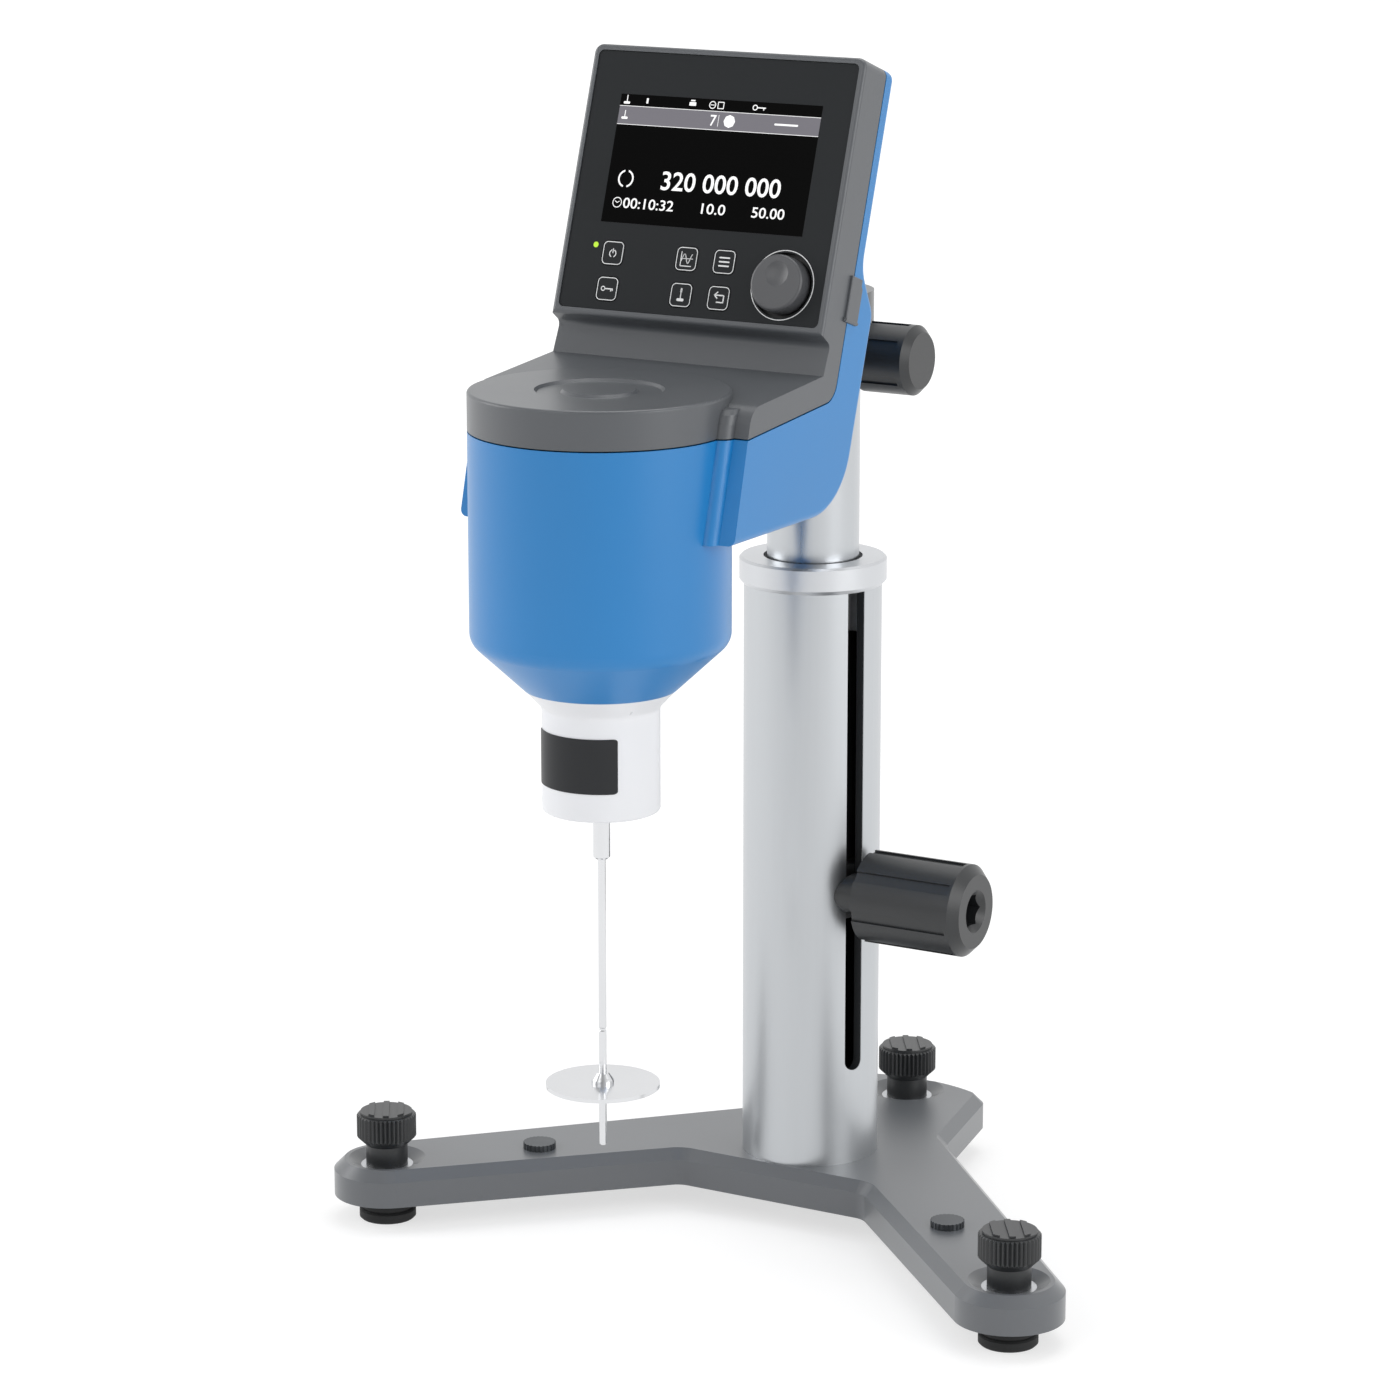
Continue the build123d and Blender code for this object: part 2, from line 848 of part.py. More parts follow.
# Clamp sleeve on the mast with the bracket that carries the head, and its pressure pad
bracket_screw_places = [
    (x, height)
    for x in (-bracket_screw_x, bracket_screw_x)
    for height in (bracket_low + 6, bracket_high - 6)
]
with BuildPart() as head_bracket:
    with BuildSketch(sideways(-bracket_half_width, column_y, 0)):
        with BuildLine():
            Polyline(
                display_point(bracket_low + 3, arm_depth + bracket_plate_thickness / 2),
                display_point(bracket_high - 3, arm_depth + bracket_plate_thickness / 2),
                (-sleeve_radius, sleeve_bottom + sleeve_height - 3),
                (0, sleeve_bottom + sleeve_height - 3),
                (0, sleeve_bottom + 3),
                (-sleeve_radius, sleeve_bottom + 3),
                close=True,
            )
        make_face()
    extrude(amount=2 * bracket_half_width)
    add(
        box(
            back_plane(arm_depth),
            0,
            (bracket_low + bracket_high) / 2,
            2 * bracket_plate_half_width,
            bracket_high - bracket_low,
            bracket_plate_thickness,
            4,
        )
    )
    add(rod(level(0, column_y, sleeve_bottom), bolt_axis, sleeve_radius, sleeve_height))
    with BuildSketch(level(0, column_y, sleeve_bottom)):
        Circle(inner_tube_radius + running_gap)
    extrude(amount=sleeve_height, mode=Mode.SUBTRACT)
    with BuildSketch(sideways(0, column_y, upper_knob_height)):
        Circle(upper_stud_radius + running_gap)
    extrude(amount=sleeve_radius + 1, mode=Mode.SUBTRACT)
    add(
        rod(
            back_plane(arm_depth),
            bracket_screw_places,
            bracket_screw_radius + press_gap,
            bracket_plate_thickness + 1,
        ),
        mode=Mode.SUBTRACT,
    )
keep(head_bracket, "head_bracket")

with BuildPart() as pressure_pad:
    with BuildSketch(sideways(inner_tube_radius - 1, column_y, upper_knob_height)):
        Circle(upper_stud_radius)
    extrude(amount=2.5)
    with Locations((0, column_y, upper_knob_height)):
        Cylinder(inner_tube_radius + running_gap, 3 * upper_stud_radius, mode=Mode.SUBTRACT)
keep(pressure_pad, "pressure_pad")

with BuildPart() as bracket_screws:
    add(
        socket_screws(
            back_plane(arm_depth + bracket_plate_thickness),
            bracket_screw_places,
            bracket_screw_radius,
            bracket_plate_thickness + 6,
            2 * bracket_screw_radius,
        )
    )
keep(bracket_screws, "bracket_screws")

# Head envelope: side profile across the full width, barrel and cone, webs in the concave corners
cone_angle = atan2(barrel_corner_z - cone_end_z, barrel_radius - cone_end_radius)
tilt = radians(panel_tilt)
heel_height = (arm_bottom_z - panel_foot_z + arm_depth * sin(tilt)) / cos(tilt)
slope = tan(radians(hood_slope))
lean = tan(radians(arm_front_lean))
brow_z = (neck_foot_z + (arm_front_bottom_y - neck_foot_y - lean * arm_bottom_z) * slope) / (1 - lean * slope)
brow_y = arm_front_bottom_y + lean * (brow_z - arm_bottom_z)
ear_y = arm_front_bottom_y + lean * (seam_z - arm_bottom_z)
waist_point = display_point(back_waist, display_depth)
shoulder_point = display_point(shoulder, arm_depth)
heel_point = display_point(heel_height, arm_depth)


def near(vertices, point):
    """Sketch corners within half a millimetre of a point."""
    return [v for v in vertices if hypot(v.X - point[0], v.Y - point[1]) < 0.5]


def depth_behind_panel(edge):
    """Distance of an edge's middle behind the panel plane."""
    middle = edge.center()
    return (middle.Y - column_y - panel_foot_y) * cos(tilt) - (middle.Z - panel_foot_z) * sin(tilt)


def on_side(edge):
    """True where an edge's middle lies in one of the head's side faces."""
    return abs(abs(edge.center().X) - head_half_width) < 0.1


def head_form(inset):
    """Outer form of the head, or the same form moved inwards by an amount."""
    width = head_half_width - inset
    with BuildPart() as form:
        with BuildSketch(sideways(-width, column_y, 0)) as side_view:
            with BuildLine():
                Polyline(
                    display_point(-bezel_rim, 0),
                    display_point(panel_height + bezel_rim, 0),
                    display_point(panel_height + bezel_rim, display_depth),
                    waist_point,
                    shoulder_point,
                    heel_point,
                    (arm_front_bottom_y, arm_bottom_z),
                    (brow_y, brow_z),
                    (neck_foot_y, neck_foot_z),
                    (neck_waist_y, neck_waist_z),
                    close=True,
                )
            make_face()
            fillet(near(side_view.vertices(), waist_point), 14)
            fillet(near(side_view.vertices(), shoulder_point), 9)
            fillet(near(side_view.vertices(), heel_point), heel_radius)
            fillet(near(side_view.vertices(), (brow_y, brow_z)), brow_radius)
            fillet(near(side_view.vertices(), (neck_waist_y, neck_waist_z)), 3)
            if inset:
                offset(amount=-inset, kind=Kind.INTERSECTION)
        extrude(amount=2 * width)
        add(
            turned(
                0,
                spindle_y,
                [
                    (0, cone_end_z + inset),
                    (cone_end_radius - inset * tan(cone_angle / 2), cone_end_z + inset),
                    (barrel_radius - inset, barrel_corner_z + inset * tan(pi / 4 - cone_angle / 2)),
                    (barrel_radius - inset, hood_top_z - inset),
                    (0, hood_top_z - inset),
                ],
            )
        )
    return form.part


brow_tangent = brow_radius * tan(radians(90 - arm_front_lean - hood_slope) / 2)
tangent_y = brow_y - brow_tangent * sin(radians(arm_front_lean))
tangent_z = brow_z - brow_tangent * cos(radians(arm_front_lean))
brow_centre_y = tangent_y + brow_radius * cos(radians(arm_front_lean))
brow_centre_z = tangent_z - brow_radius * sin(radians(arm_front_lean))


def ear_front(z):
    """Distance of the ear's front face from the column axis at a height."""
    if z <= tangent_z:
        return arm_front_bottom_y + lean * (z - arm_bottom_z)
    return brow_centre_y - sqrt(brow_radius**2 - (z - brow_centre_z) ** 2)


def web(side):
    """Concave filler between the barrel and the ear on one side."""
    with BuildPart() as filler:
        for z in (arm_bottom_z, tangent_z, tangent_z + 3.5, tangent_z + 5.5):
            face_y = column_y + ear_front(z)
            centre_y = face_y - blend_radius
            reach = barrel_radius + blend_radius
            centre_x = sqrt(reach**2 - (centre_y - spindle_y) ** 2)
            share = barrel_radius / reach
            ear_touch = (side * centre_x, face_y)
            barrel_touch = (side * centre_x * share, spindle_y + (centre_y - spindle_y) * share)
            with BuildSketch(level(0, 0, z)):
                with BuildLine():
                    RadiusArc(ear_touch, barrel_touch, side * blend_radius)
                    Polyline(barrel_touch, (side * (centre_x - 8), face_y + 4), ear_touch)
                make_face()
        loft(ruled=True)
    return filler.part


with BuildPart() as head_outer:
    add(head_form(0))
    add(web(1))
    add(web(-1))
    rims = head_outer.edges().filter_by(GeomType.CIRCLE)
    fillet(rims.filter_by(lambda e: abs(e.center().Z - barrel_corner_z) < 0.1), 8)
    corner_y, corner_z = display_point(panel_height + bezel_rim, display_depth / 2)
    side_lines = head_outer.edges().filter_by(GeomType.LINE).filter_by(on_side)
    fillet(
        side_lines.filter_by(
            lambda e: hypot(e.center().Y - column_y - corner_y, e.center().Z - corner_z) < 0.5
        ),
        4,
    )
    fillet(
        head_outer.edges().filter_by(
            lambda e: abs(depth_behind_panel(e)) < 0.2 and e.center().Z > panel_foot_z - 6
        ),
        1.6,
    )
    fillet(
        head_outer.edges()
        .filter_by(on_side)
        .filter_by(
            lambda e: depth_behind_panel(e) > 20 and e.center().Y > column_y + panel_foot_y + 14 and e.center().Z < 510
        ),
        3,
    )
    rims = head_outer.edges().filter_by(GeomType.CIRCLE)
    fillet(rims.filter_by(lambda e: abs(e.center().Z - hood_top_z) < 0.1), 1.2)

# Seam between the housings, seen from the side: behind the display, then forward at ear height
seam_slope = tan(radians(seam_rise))
seam_corner_height = (
    seam_z + (panel_foot_y + seam_depth * cos(tilt) - ear_y) * seam_slope - panel_foot_z + seam_depth * sin(tilt)
) / (cos(tilt) - sin(tilt) * seam_slope)
seam_corner = display_point(seam_corner_height, seam_depth)


def seam_side(spread):
    """Everything in front of and above the seam, widened across the seam by an amount."""
    with BuildPart() as region:
        with BuildSketch(sideways(-head_half_width - 5, column_y, 0)) as side_view:
            with BuildLine():
                Polyline(
                    display_point(panel_height + 40, seam_depth),
                    seam_corner,
                    (ear_y, seam_z),
                    (-2 * head_reach, seam_z),
                    (-2 * head_reach, 600),
                    close=True,
                )
            make_face()
            fillet(near(side_view.vertices(), seam_corner), 10)
            offset(amount=spread, kind=Kind.INTERSECTION)
        extrude(amount=2 * head_half_width + 10)
    return region.part


def side_block(side, height, depth, tall, deep, outside, inside):
    """Block let into a side wall: display coordinates, distances from the side face."""
    start = side * (head_half_width + outside)
    with BuildPart() as block:
        with BuildSketch(sideways(start, column_y, 0)):
            with BuildLine():
                Polyline(
                    display_point(height, depth),
                    display_point(height + tall, depth),
                    display_point(height + tall, depth + deep),
                    display_point(height, depth + deep),
                    close=True,
                )
            make_face()
        extrude(amount=-side * (outside + inside))
    return block.part


head_cavity = head_form(shell_wall)
axis_places = [(0, 0)]
boss_places = [(x, height) for x in (-boss_x, boss_x) for height in boss_heights]
cover_recess = side_block(
    1,
    cover_height - running_gap,
    cover_depth - running_gap,
    cover_tall + 2 * running_gap,
    cover_deep + 2 * running_gap,
    2,
    cover_thickness - cover_proud + running_gap,
)
hinge_height = cover_height + cover_thickness / 2
hinge_y, hinge_z = display_point(hinge_height, cover_depth + cover_deep / 2)
hinge_x = head_half_width + cover_proud - cover_thickness / 2
hinge_plane = Plane(
    origin=(hinge_x, column_y + hinge_y, hinge_z),
    x_dir=(1, 0, 0),
    z_dir=(0, cos(tilt), -sin(tilt)),
)
trunnion_reach = cover_deep / 2 + cover_trunnion

# Upper housing: display frame, neck and hood with its dished cap
ledge_depth = 4.2
with BuildPart() as upper_housing:
    add(head_outer.part)
    add(head_cavity, mode=Mode.SUBTRACT)
    add(
        box(
            front_plane(0.5),
            0,
            panel_height / 2,
            2 * head_half_width - 2 * shell_wall + 1,
            panel_height + 2 * bezel_rim - 2 * shell_wall + 1,
            0.5 - ledge_depth,
        )
    )
    add(
        box(
            front_plane(0),
            0,
            panel_height / 2,
            2 * panel_half_width,
            panel_height,
            -panel_recess,
            2.5,
        ),
        mode=Mode.SUBTRACT,
    )
    add(
        box(
            front_plane(0),
            0,
            panel_height / 2,
            2 * panel_half_width - 2 * ledge_width,
            panel_height - 2 * ledge_width,
            -display_depth / 2,
        ),
        mode=Mode.SUBTRACT,
    )
    add(seam_side(-seam_gap / 2), mode=Mode.INTERSECT)
    add(rod(front_plane(ledge_depth - 1), boss_places, boss_radius, ledge_depth - 1 - boss_depth))
    add(
        rod(
            back_plane(display_depth - shell_wall),
            boss_places,
            screw_radius + press_gap,
            -12,
        ),
        mode=Mode.SUBTRACT,
    )
    add(
        turned(
            0,
            spindle_y,
            [
                (dish_inner_radius, hood_top_z + 1),
                (dish_inner_radius, hood_top_z),
                (dish_inner_radius + dish_depth, hood_top_z - dish_depth),
                (dish_outer_radius - dish_depth, hood_top_z - dish_depth),
                (dish_outer_radius, hood_top_z),
                (dish_outer_radius, hood_top_z + 1),
            ],
        ),
        mode=Mode.SUBTRACT,
    )
    add(cover_recess, mode=Mode.SUBTRACT)
    add(
        rod(hinge_plane.offset(-trunnion_reach - running_gap), axis_places, 0.75, 2 * trunnion_reach),
        mode=Mode.SUBTRACT,
    )
keep(upper_housing, "upper_housing")

# Lower housing: back of the display, arm, barrel and cone, with the pillars and posts inside
board_post_places = [(x, y) for x in (-board_post_x, board_post_x) for y in board_post_y]
pillar_places = [
    (pillar_circle * cos(radians(angle)), pillar_circle * sin(radians(angle)))
    for angle in (45, 135, 225, 315)
]
rear_face = back_plane(display_depth)
with BuildPart() as lower_housing:
    add(head_outer.part)
    add(head_cavity, mode=Mode.SUBTRACT)
    add(seam_side(seam_gap / 2), mode=Mode.SUBTRACT)
    add(rod(level(0, spindle_y, cone_end_z), axis_places, neck_hole_radius, shell_wall + 1), mode=Mode.SUBTRACT)
    add(rod(level(0, spindle_y, pillar_bottom), pillar_places, pillar_radius, chassis_z - pillar_bottom))
    add(
        rod(level(0, spindle_y, pillar_bottom + 2), pillar_places, screw_radius + press_gap, chassis_z),
        mode=Mode.SUBTRACT,
    )
    for y in board_post_y:
        places = [(x, y) for x in (-board_post_x, board_post_x)]
        add(rod(level(0, column_y, board_post_bottom), places, board_post_radius, board_z - board_post_bottom))
        add(
            rod(level(0, column_y, board_z - 7), places, screw_radius + press_gap, 8),
            mode=Mode.SUBTRACT,
        )
    add(
        rod(rear_face.offset(1), boss_places, screw_radius + 0.3, -shell_wall - 2),
        mode=Mode.SUBTRACT,
    )
    add(
        rod(back_plane(arm_depth).offset(1), bracket_screw_places, bracket_screw_radius + press_gap, -9),
        mode=Mode.SUBTRACT,
    )
    add(
        rod(rear_face.offset(1), [(inlet_x, socket_height)], inlet_radius, -shell_wall - 2),
        mode=Mode.SUBTRACT,
    )
    add(
        box(rear_face.offset(1), usb_x, socket_height, usb_width, usb_tall, -shell_wall - 2, 0.8),
        mode=Mode.SUBTRACT,
    )
    add(cover_recess, mode=Mode.SUBTRACT)
    add(
        side_block(1, port_height, port_depth, port_tall, port_deep, 1, shell_wall + 1),
        mode=Mode.SUBTRACT,
    )
    add(
        rod(hinge_plane.offset(trunnion_reach + running_gap), axis_places, 0.75, -2 * trunnion_reach),
        mode=Mode.SUBTRACT,
    )
keep(lower_housing, "lower_housing")

# Cover over the side port, with a barrel and trunnions along its lower edge
cover_y, cover_z = display_point(cover_height, cover_depth)
with BuildPart() as port_cover:
    add(
        side_block(
            1,
            hinge_height,
            cover_depth,
            cover_tall - cover_thickness / 2,
            cover_deep,
            cover_proud,
            cover_thickness - cover_proud,
        )
    )
    along_depth = port_cover.edges().filter_by(
        lambda e: e.center().X > head_half_width + cover_proud - 0.01
    )
    fillet(along_depth.sort_by(Axis.Z)[-3:], 0.6)
    add(rod(hinge_plane.offset(-cover_deep / 2), axis_places, cover_thickness / 2, cover_deep))
    add(rod(hinge_plane.offset(-trunnion_reach), axis_places, 0.7, 2 * trunnion_reach))
    notch_points = [
        display_point(cover_height + cover_tall + 0.1, cover_depth + cover_deep - 4.5),
        display_point(cover_height + cover_tall + 0.1, cover_depth + cover_deep + 0.1),
        display_point(cover_height + cover_tall - 4.5, cover_depth + cover_deep + 0.1),
    ]
    with BuildSketch(sideways(head_half_width + cover_proud, column_y, 0)):
        with BuildLine():
            Polyline(*notch_points, close=True)
        make_face()
    extrude(amount=-0.9, mode=Mode.SUBTRACT)
keep(port_cover, "port_cover")

with BuildPart() as side_socket:
    add(
        side_block(
            1,
            port_height - 0.8,
            port_depth - 0.8,
            port_tall + 1.6,
            port_deep + 1.6,
            -shell_wall - running_gap,
            shell_wall + 12,
        )
    )
    add(
        side_block(1, port_height, port_depth, port_tall, port_deep, -shell_wall - running_gap, shell_wall + 11),
        mode=Mode.SUBTRACT,
    )
    add(
        side_block(
            1,
            port_height + 1,
            port_depth + port_deep / 2,
            port_tall - 2,
            port_deep / 2 - 0.6,
            -shell_wall - 1,
            shell_wall + 12,
        )
    )

# Sockets in the rear face
socket_face = back_plane(display_depth - shell_wall - running_gap)
with BuildPart() as power_inlet:
    add(box(socket_face, inlet_x, socket_height, 12, 12, -11, 1))
    add(rod(socket_face, [(inlet_x, socket_height)], inlet_radius - 0.3, shell_wall))
    add(
        rod(socket_face.offset(shell_wall), [(inlet_x, socket_height)], 2.9, -11),
        mode=Mode.SUBTRACT,
    )
    add(rod(socket_face.offset(-9), [(inlet_x, socket_height)], 1.0, 9 + shell_wall / 2))

with BuildPart() as usb_socket:
    add(box(socket_face, usb_x, socket_height, usb_width + 1, usb_tall + 1, -14))
    add(box(socket_face, usb_x, socket_height, usb_width - 0.6, usb_tall - 0.6, shell_wall, 0.8))
    add(
        box(socket_face.offset(shell_wall), usb_x, socket_height, usb_width - 2, usb_tall - 2, -12),
        mode=Mode.SUBTRACT,
    )
    add(box(socket_face.offset(-10), usb_x, socket_height, 5.6, 3.2, 10 + shell_wall / 2))
with BuildPart() as sockets:
    add(side_socket.part)
    add(power_inlet.part)
    add(usb_socket.part)
keep(sockets, "sockets")

# Front panel with its openings, the pane and the display module behind it
panel_front = panel_recess - panel_thickness
panel_plane = front_plane(panel_front)
key_places = {
    "power": (key_columns[0], key_rows[1]),
    "lock": (key_columns[0], key_rows[0]),
    "graph": (key_columns[1], key_rows[1]),
    "spindle": (key_columns[1], key_rows[0]),
    "menu": (key_columns[2], key_rows[1]),
    "back": (key_columns[2], key_rows[0]),
}
with BuildPart() as front_panel:
    with BuildSketch(panel_plane):
        with Locations((0, panel_height / 2)):
            RectangleRounded(2 * (panel_half_width - panel_gap), panel_height - 2 * panel_gap, 2.3)
        with Locations((0, screen_middle)):
            Rectangle(screen_width, screen_height, mode=Mode.SUBTRACT)
        with Locations(*key_places.values()):
            RectangleRounded(key_size + 2 * panel_gap, key_size + 2 * panel_gap, key_corner + panel_gap, mode=Mode.SUBTRACT)
        with Locations((light_x, light_y)):
            Circle(light_radius, mode=Mode.SUBTRACT)
        with Locations((dial_x, dial_y)):
            Circle(dial_well_radius, mode=Mode.SUBTRACT)
    extrude(amount=-panel_thickness)
keep(front_panel, "front_panel")

with BuildPart() as display_pane:
    add(
        box(
            panel_plane,
            0,
            screen_middle,
            screen_width - 2 * press_gap,
            screen_height - 2 * press_gap,
            -panel_thickness,
        )
    )
keep(display_pane, "display_pane")

with BuildPart() as display_module:
    add(
        box(
            front_plane(panel_recess),
            0,
            screen_middle,
            screen_width + 8,
            screen_height + 6,
            -display_module_thickness,
        )
    )
keep(display_module, "display_module")

# Keys: cap in the panel opening, flange behind the panel
for name, place in key_places.items():
    with BuildPart() as key:
        add(box(front_plane(panel_front - key_proud), *place, key_size, key_size, -key_thickness, key_corner))
        add(
            box(
                front_plane(panel_recess + running_gap),
                *place,
                key_size + 1.4,
                key_size + 1.4,
                -key_flange,
                key_corner,
            )
        )
        chamfer(key.faces().sort_by(Axis((0, 0, 0), (0, -cos(tilt), sin(tilt))))[-1].edges(), length=0.2)
    keep(key, f"key_{name}")

with BuildPart() as light_guide:
    add(
        rod(
            front_plane(panel_front),
            [(light_x, light_y)],
            light_radius - press_gap,
            panel_front - board_depth,
        )
    )
keep(light_guide, "light_guide")

# Key board behind the panel, with its domes
with BuildPart() as key_board:
    add(box(front_plane(board_depth), 0, 17.0, 2 * board_half_width, 28.6, -1.6))
    add(
        rod(
            front_plane(board_depth),
            list(key_places.values()),
            2.6,
            board_depth - panel_recess - running_gap - key_flange - key_travel - 0.2,
        )
    )
    add(rod(front_plane(0), [(dial_x, dial_y)], 4.2, -display_depth / 2), mode=Mode.SUBTRACT)
keep(key_board, "key_board")

# Turn-and-push knob on the encoder
dial_plane = front_plane(panel_front - dial_height)
with BuildPart() as dial_knob:
    add(rod(dial_plane, [(dial_x, dial_y)], dial_radius, dial_skirt_depth * -1 - dial_height + panel_front))
    rim = dial_knob.edges().filter_by(GeomType.CIRCLE).sort_by(Axis((0, 0, 0), (0, -cos(tilt), sin(tilt))))
    fillet(rim[-1], 1.4)
    with BuildSketch(dial_plane) as dimple_place:
        with Locations((dial_x, dial_y)):
            Circle(1)
    dimple_middle = dial_plane.from_local_coords(
        (dial_x, dial_y + dimple_reach, dimple_radius - dimple_depth)
    )
    with Locations(dimple_middle):
        Sphere(dimple_radius, mode=Mode.SUBTRACT)
    add(
        rod(front_plane(-dial_height + 3), [(dial_x, dial_y)], shaft_radius + press_gap, -dial_height * 3),
        mode=Mode.SUBTRACT,
    )
keep(dial_knob, "dial_knob")

shaft_end_depth = encoder_front + 6.0
with BuildPart() as encoder_shaft:
    add(
        rod(
            front_plane(-dial_height + 3),
            [(dial_x, dial_y)],
            shaft_radius,
            -dial_height + 3 - shaft_end_depth,
        )
    )
keep(encoder_shaft, "encoder_shaft")

with BuildPart() as encoder_body:
    add(box(front_plane(encoder_front), dial_x, dial_y, 13, 13, -encoder_length, 1))
    add(rod(front_plane(board_depth), [(dial_x, dial_y)], 4.0, board_depth - encoder_front))
    add(
        rod(front_plane(0), [(dial_x, dial_y)], shaft_radius + running_gap, -shaft_end_depth - 2),
        mode=Mode.SUBTRACT,
    )
keep(encoder_body, "encoder_body")

with BuildPart() as encoder_plunger:
    add(
        rod(
            front_plane(shaft_end_depth + 0.05),
            [(dial_x, dial_y)],
            shaft_radius - 0.6,
            -1.2,
        )
    )
keep(encoder_plunger, "encoder_plunger")

# Main board on the posts of the lower housing
with BuildPart() as main_board:
    add(box(level(0, column_y, board_z), 0, board_y, 2 * board_post_x + 10, board_deep, board_thickness))
    add(
        rod(level(0, column_y, board_z), board_post_places, screw_radius + 0.2, board_thickness),
        mode=Mode.SUBTRACT,
    )
    board_top = level(0, column_y, board_z + board_thickness)
    add(box(board_top, -22, board_y, 14, 14, 1.4))
    add(box(board_top, 8, board_y + 4, 9, 9, 1.2))
    add(box(board_top, 34, board_y - 2, 7, 20, 7))
    add(rod(board_top, [(-38, board_y - 8), (-38, board_y + 4), (22, board_y - 9)], 4.0, 9))
keep(main_board, "main_board")

# White bearing housing under the head, its retaining ring and the bare plate on its front
with BuildPart() as bearing_housing:
    add(
        turned(
            0,
            spindle_y,
            [
                (shaft_hole_radius, neck_bottom_z),
                (neck_radius, neck_bottom_z),
                (neck_radius, neck_corner_z),
                (cone_end_radius - 0.2, cone_end_z),
                (neck_hole_radius - neck_gap, cone_end_z),
                (neck_hole_radius - neck_gap, ring_top_z),
                (spigot_bore, ring_top_z),
                (spigot_bore, neck_corner_z + 4),
                (neck_bore, neck_corner_z + 1),
                (neck_bore, cartridge_z),
                (cartridge_radius + 3, cartridge_z),
                (cartridge_radius + 3, cartridge_z + 14),
                (cartridge_radius + press_gap, cartridge_z + 14),
                (cartridge_radius + press_gap, cartridge_z),
                (shaft_hole_radius, cartridge_z),
            ],
        )
    )
    circles = bearing_housing.edges().filter_by(GeomType.CIRCLE).filter_by(lambda e: e.radius > neck_radius - 0.1)
    fillet(circles.filter_by(lambda e: abs(e.center().Z - neck_corner_z) < 0.1), 3)
    fillet(circles.filter_by(lambda e: abs(e.center().Z - neck_bottom_z) < 0.1), 1.2)
    turn = radians(cone_screw_turn)
    radial = (sin(turn), -cos(turn))
    reach = neck_radius + 2.2
    with BuildSketch(
        Plane(
            origin=(reach * radial[0], spindle_y + reach * radial[1], neck_corner_z + 1.6),
            z_dir=(
                0.5 * radial[0] - 0.75 * cos(turn),
                0.5 * radial[1] - 0.75 * sin(turn),
                -0.45,
            ),
        )
    ):
        Circle(1.5)
    extrude(amount=8, mode=Mode.SUBTRACT)
keep(bearing_housing, "bearing_housing")

with BuildPart() as retaining_ring:
    add(
        rod(
            level(0, spindle_y, cone_end_z + shell_wall),
            axis_places,
            ring_radius,
            ring_top_z - cone_end_z - shell_wall,
            neck_hole_radius,
        )
    )
keep(retaining_ring, "retaining_ring")

turn = radians(plate_turn)
with BuildPart() as badge_plate:
    with BuildSketch(
        Plane(
            origin=(0, spindle_y, (plate_low_z + plate_high_z) / 2),
            x_dir=(cos(turn), sin(turn), 0),
            z_dir=(sin(turn), -cos(turn), 0),
        )
    ):
        RectangleRounded(2 * neck_radius * sin(radians(plate_half_angle)), plate_high_z - plate_low_z, 1.2)
    extrude(amount=neck_radius + 1)
    add(
        rod(
            level(0, spindle_y, plate_low_z),
            axis_places,
            neck_radius + press_gap + plate_film,
            plate_high_z - plate_low_z,
            neck_radius + press_gap,
        ),
        mode=Mode.INTERSECT,
    )
keep(badge_plate, "badge_plate")

# Bearing cartridge and its two bearings
with BuildPart() as bearing_cartridge:
    add(
        turned(
            0,
            spindle_y,
            [
                (bearing_radius + press_gap, cartridge_z),
                (cartridge_radius, cartridge_z),
                (cartridge_radius, cartridge_top_z),
                (bearing_radius + press_gap, cartridge_top_z),
                (bearing_radius + press_gap, bearing_high_z),
                (bearing_radius - 1.5, bearing_high_z),
                (bearing_radius - 1.5, bearing_low_z + bearing_width),
                (bearing_radius + press_gap, bearing_low_z + bearing_width),
            ],
        )
    )
keep(bearing_cartridge, "bearing_cartridge")

with BuildPart() as ball_bearings:
    for z in (bearing_low_z, bearing_high_z):
        add(
            turned(
                0,
                spindle_y,
                [
                    (measuring_shaft_radius + running_gap, z),
                    (3.3, z),
                    (3.3, z + 0.5),
                    (5.2, z + 0.5),
                    (5.2, z),
                    (bearing_radius, z),
                    (bearing_radius, z + bearing_width),
                    (5.2, z + bearing_width),
                    (5.2, z + bearing_width - 0.5),
                    (3.3, z + bearing_width - 0.5),
                    (3.3, z + bearing_width),
                    (measuring_shaft_radius + running_gap, z + bearing_width),
                ],
            )
        )
keep(ball_bearings, "ball_bearings")

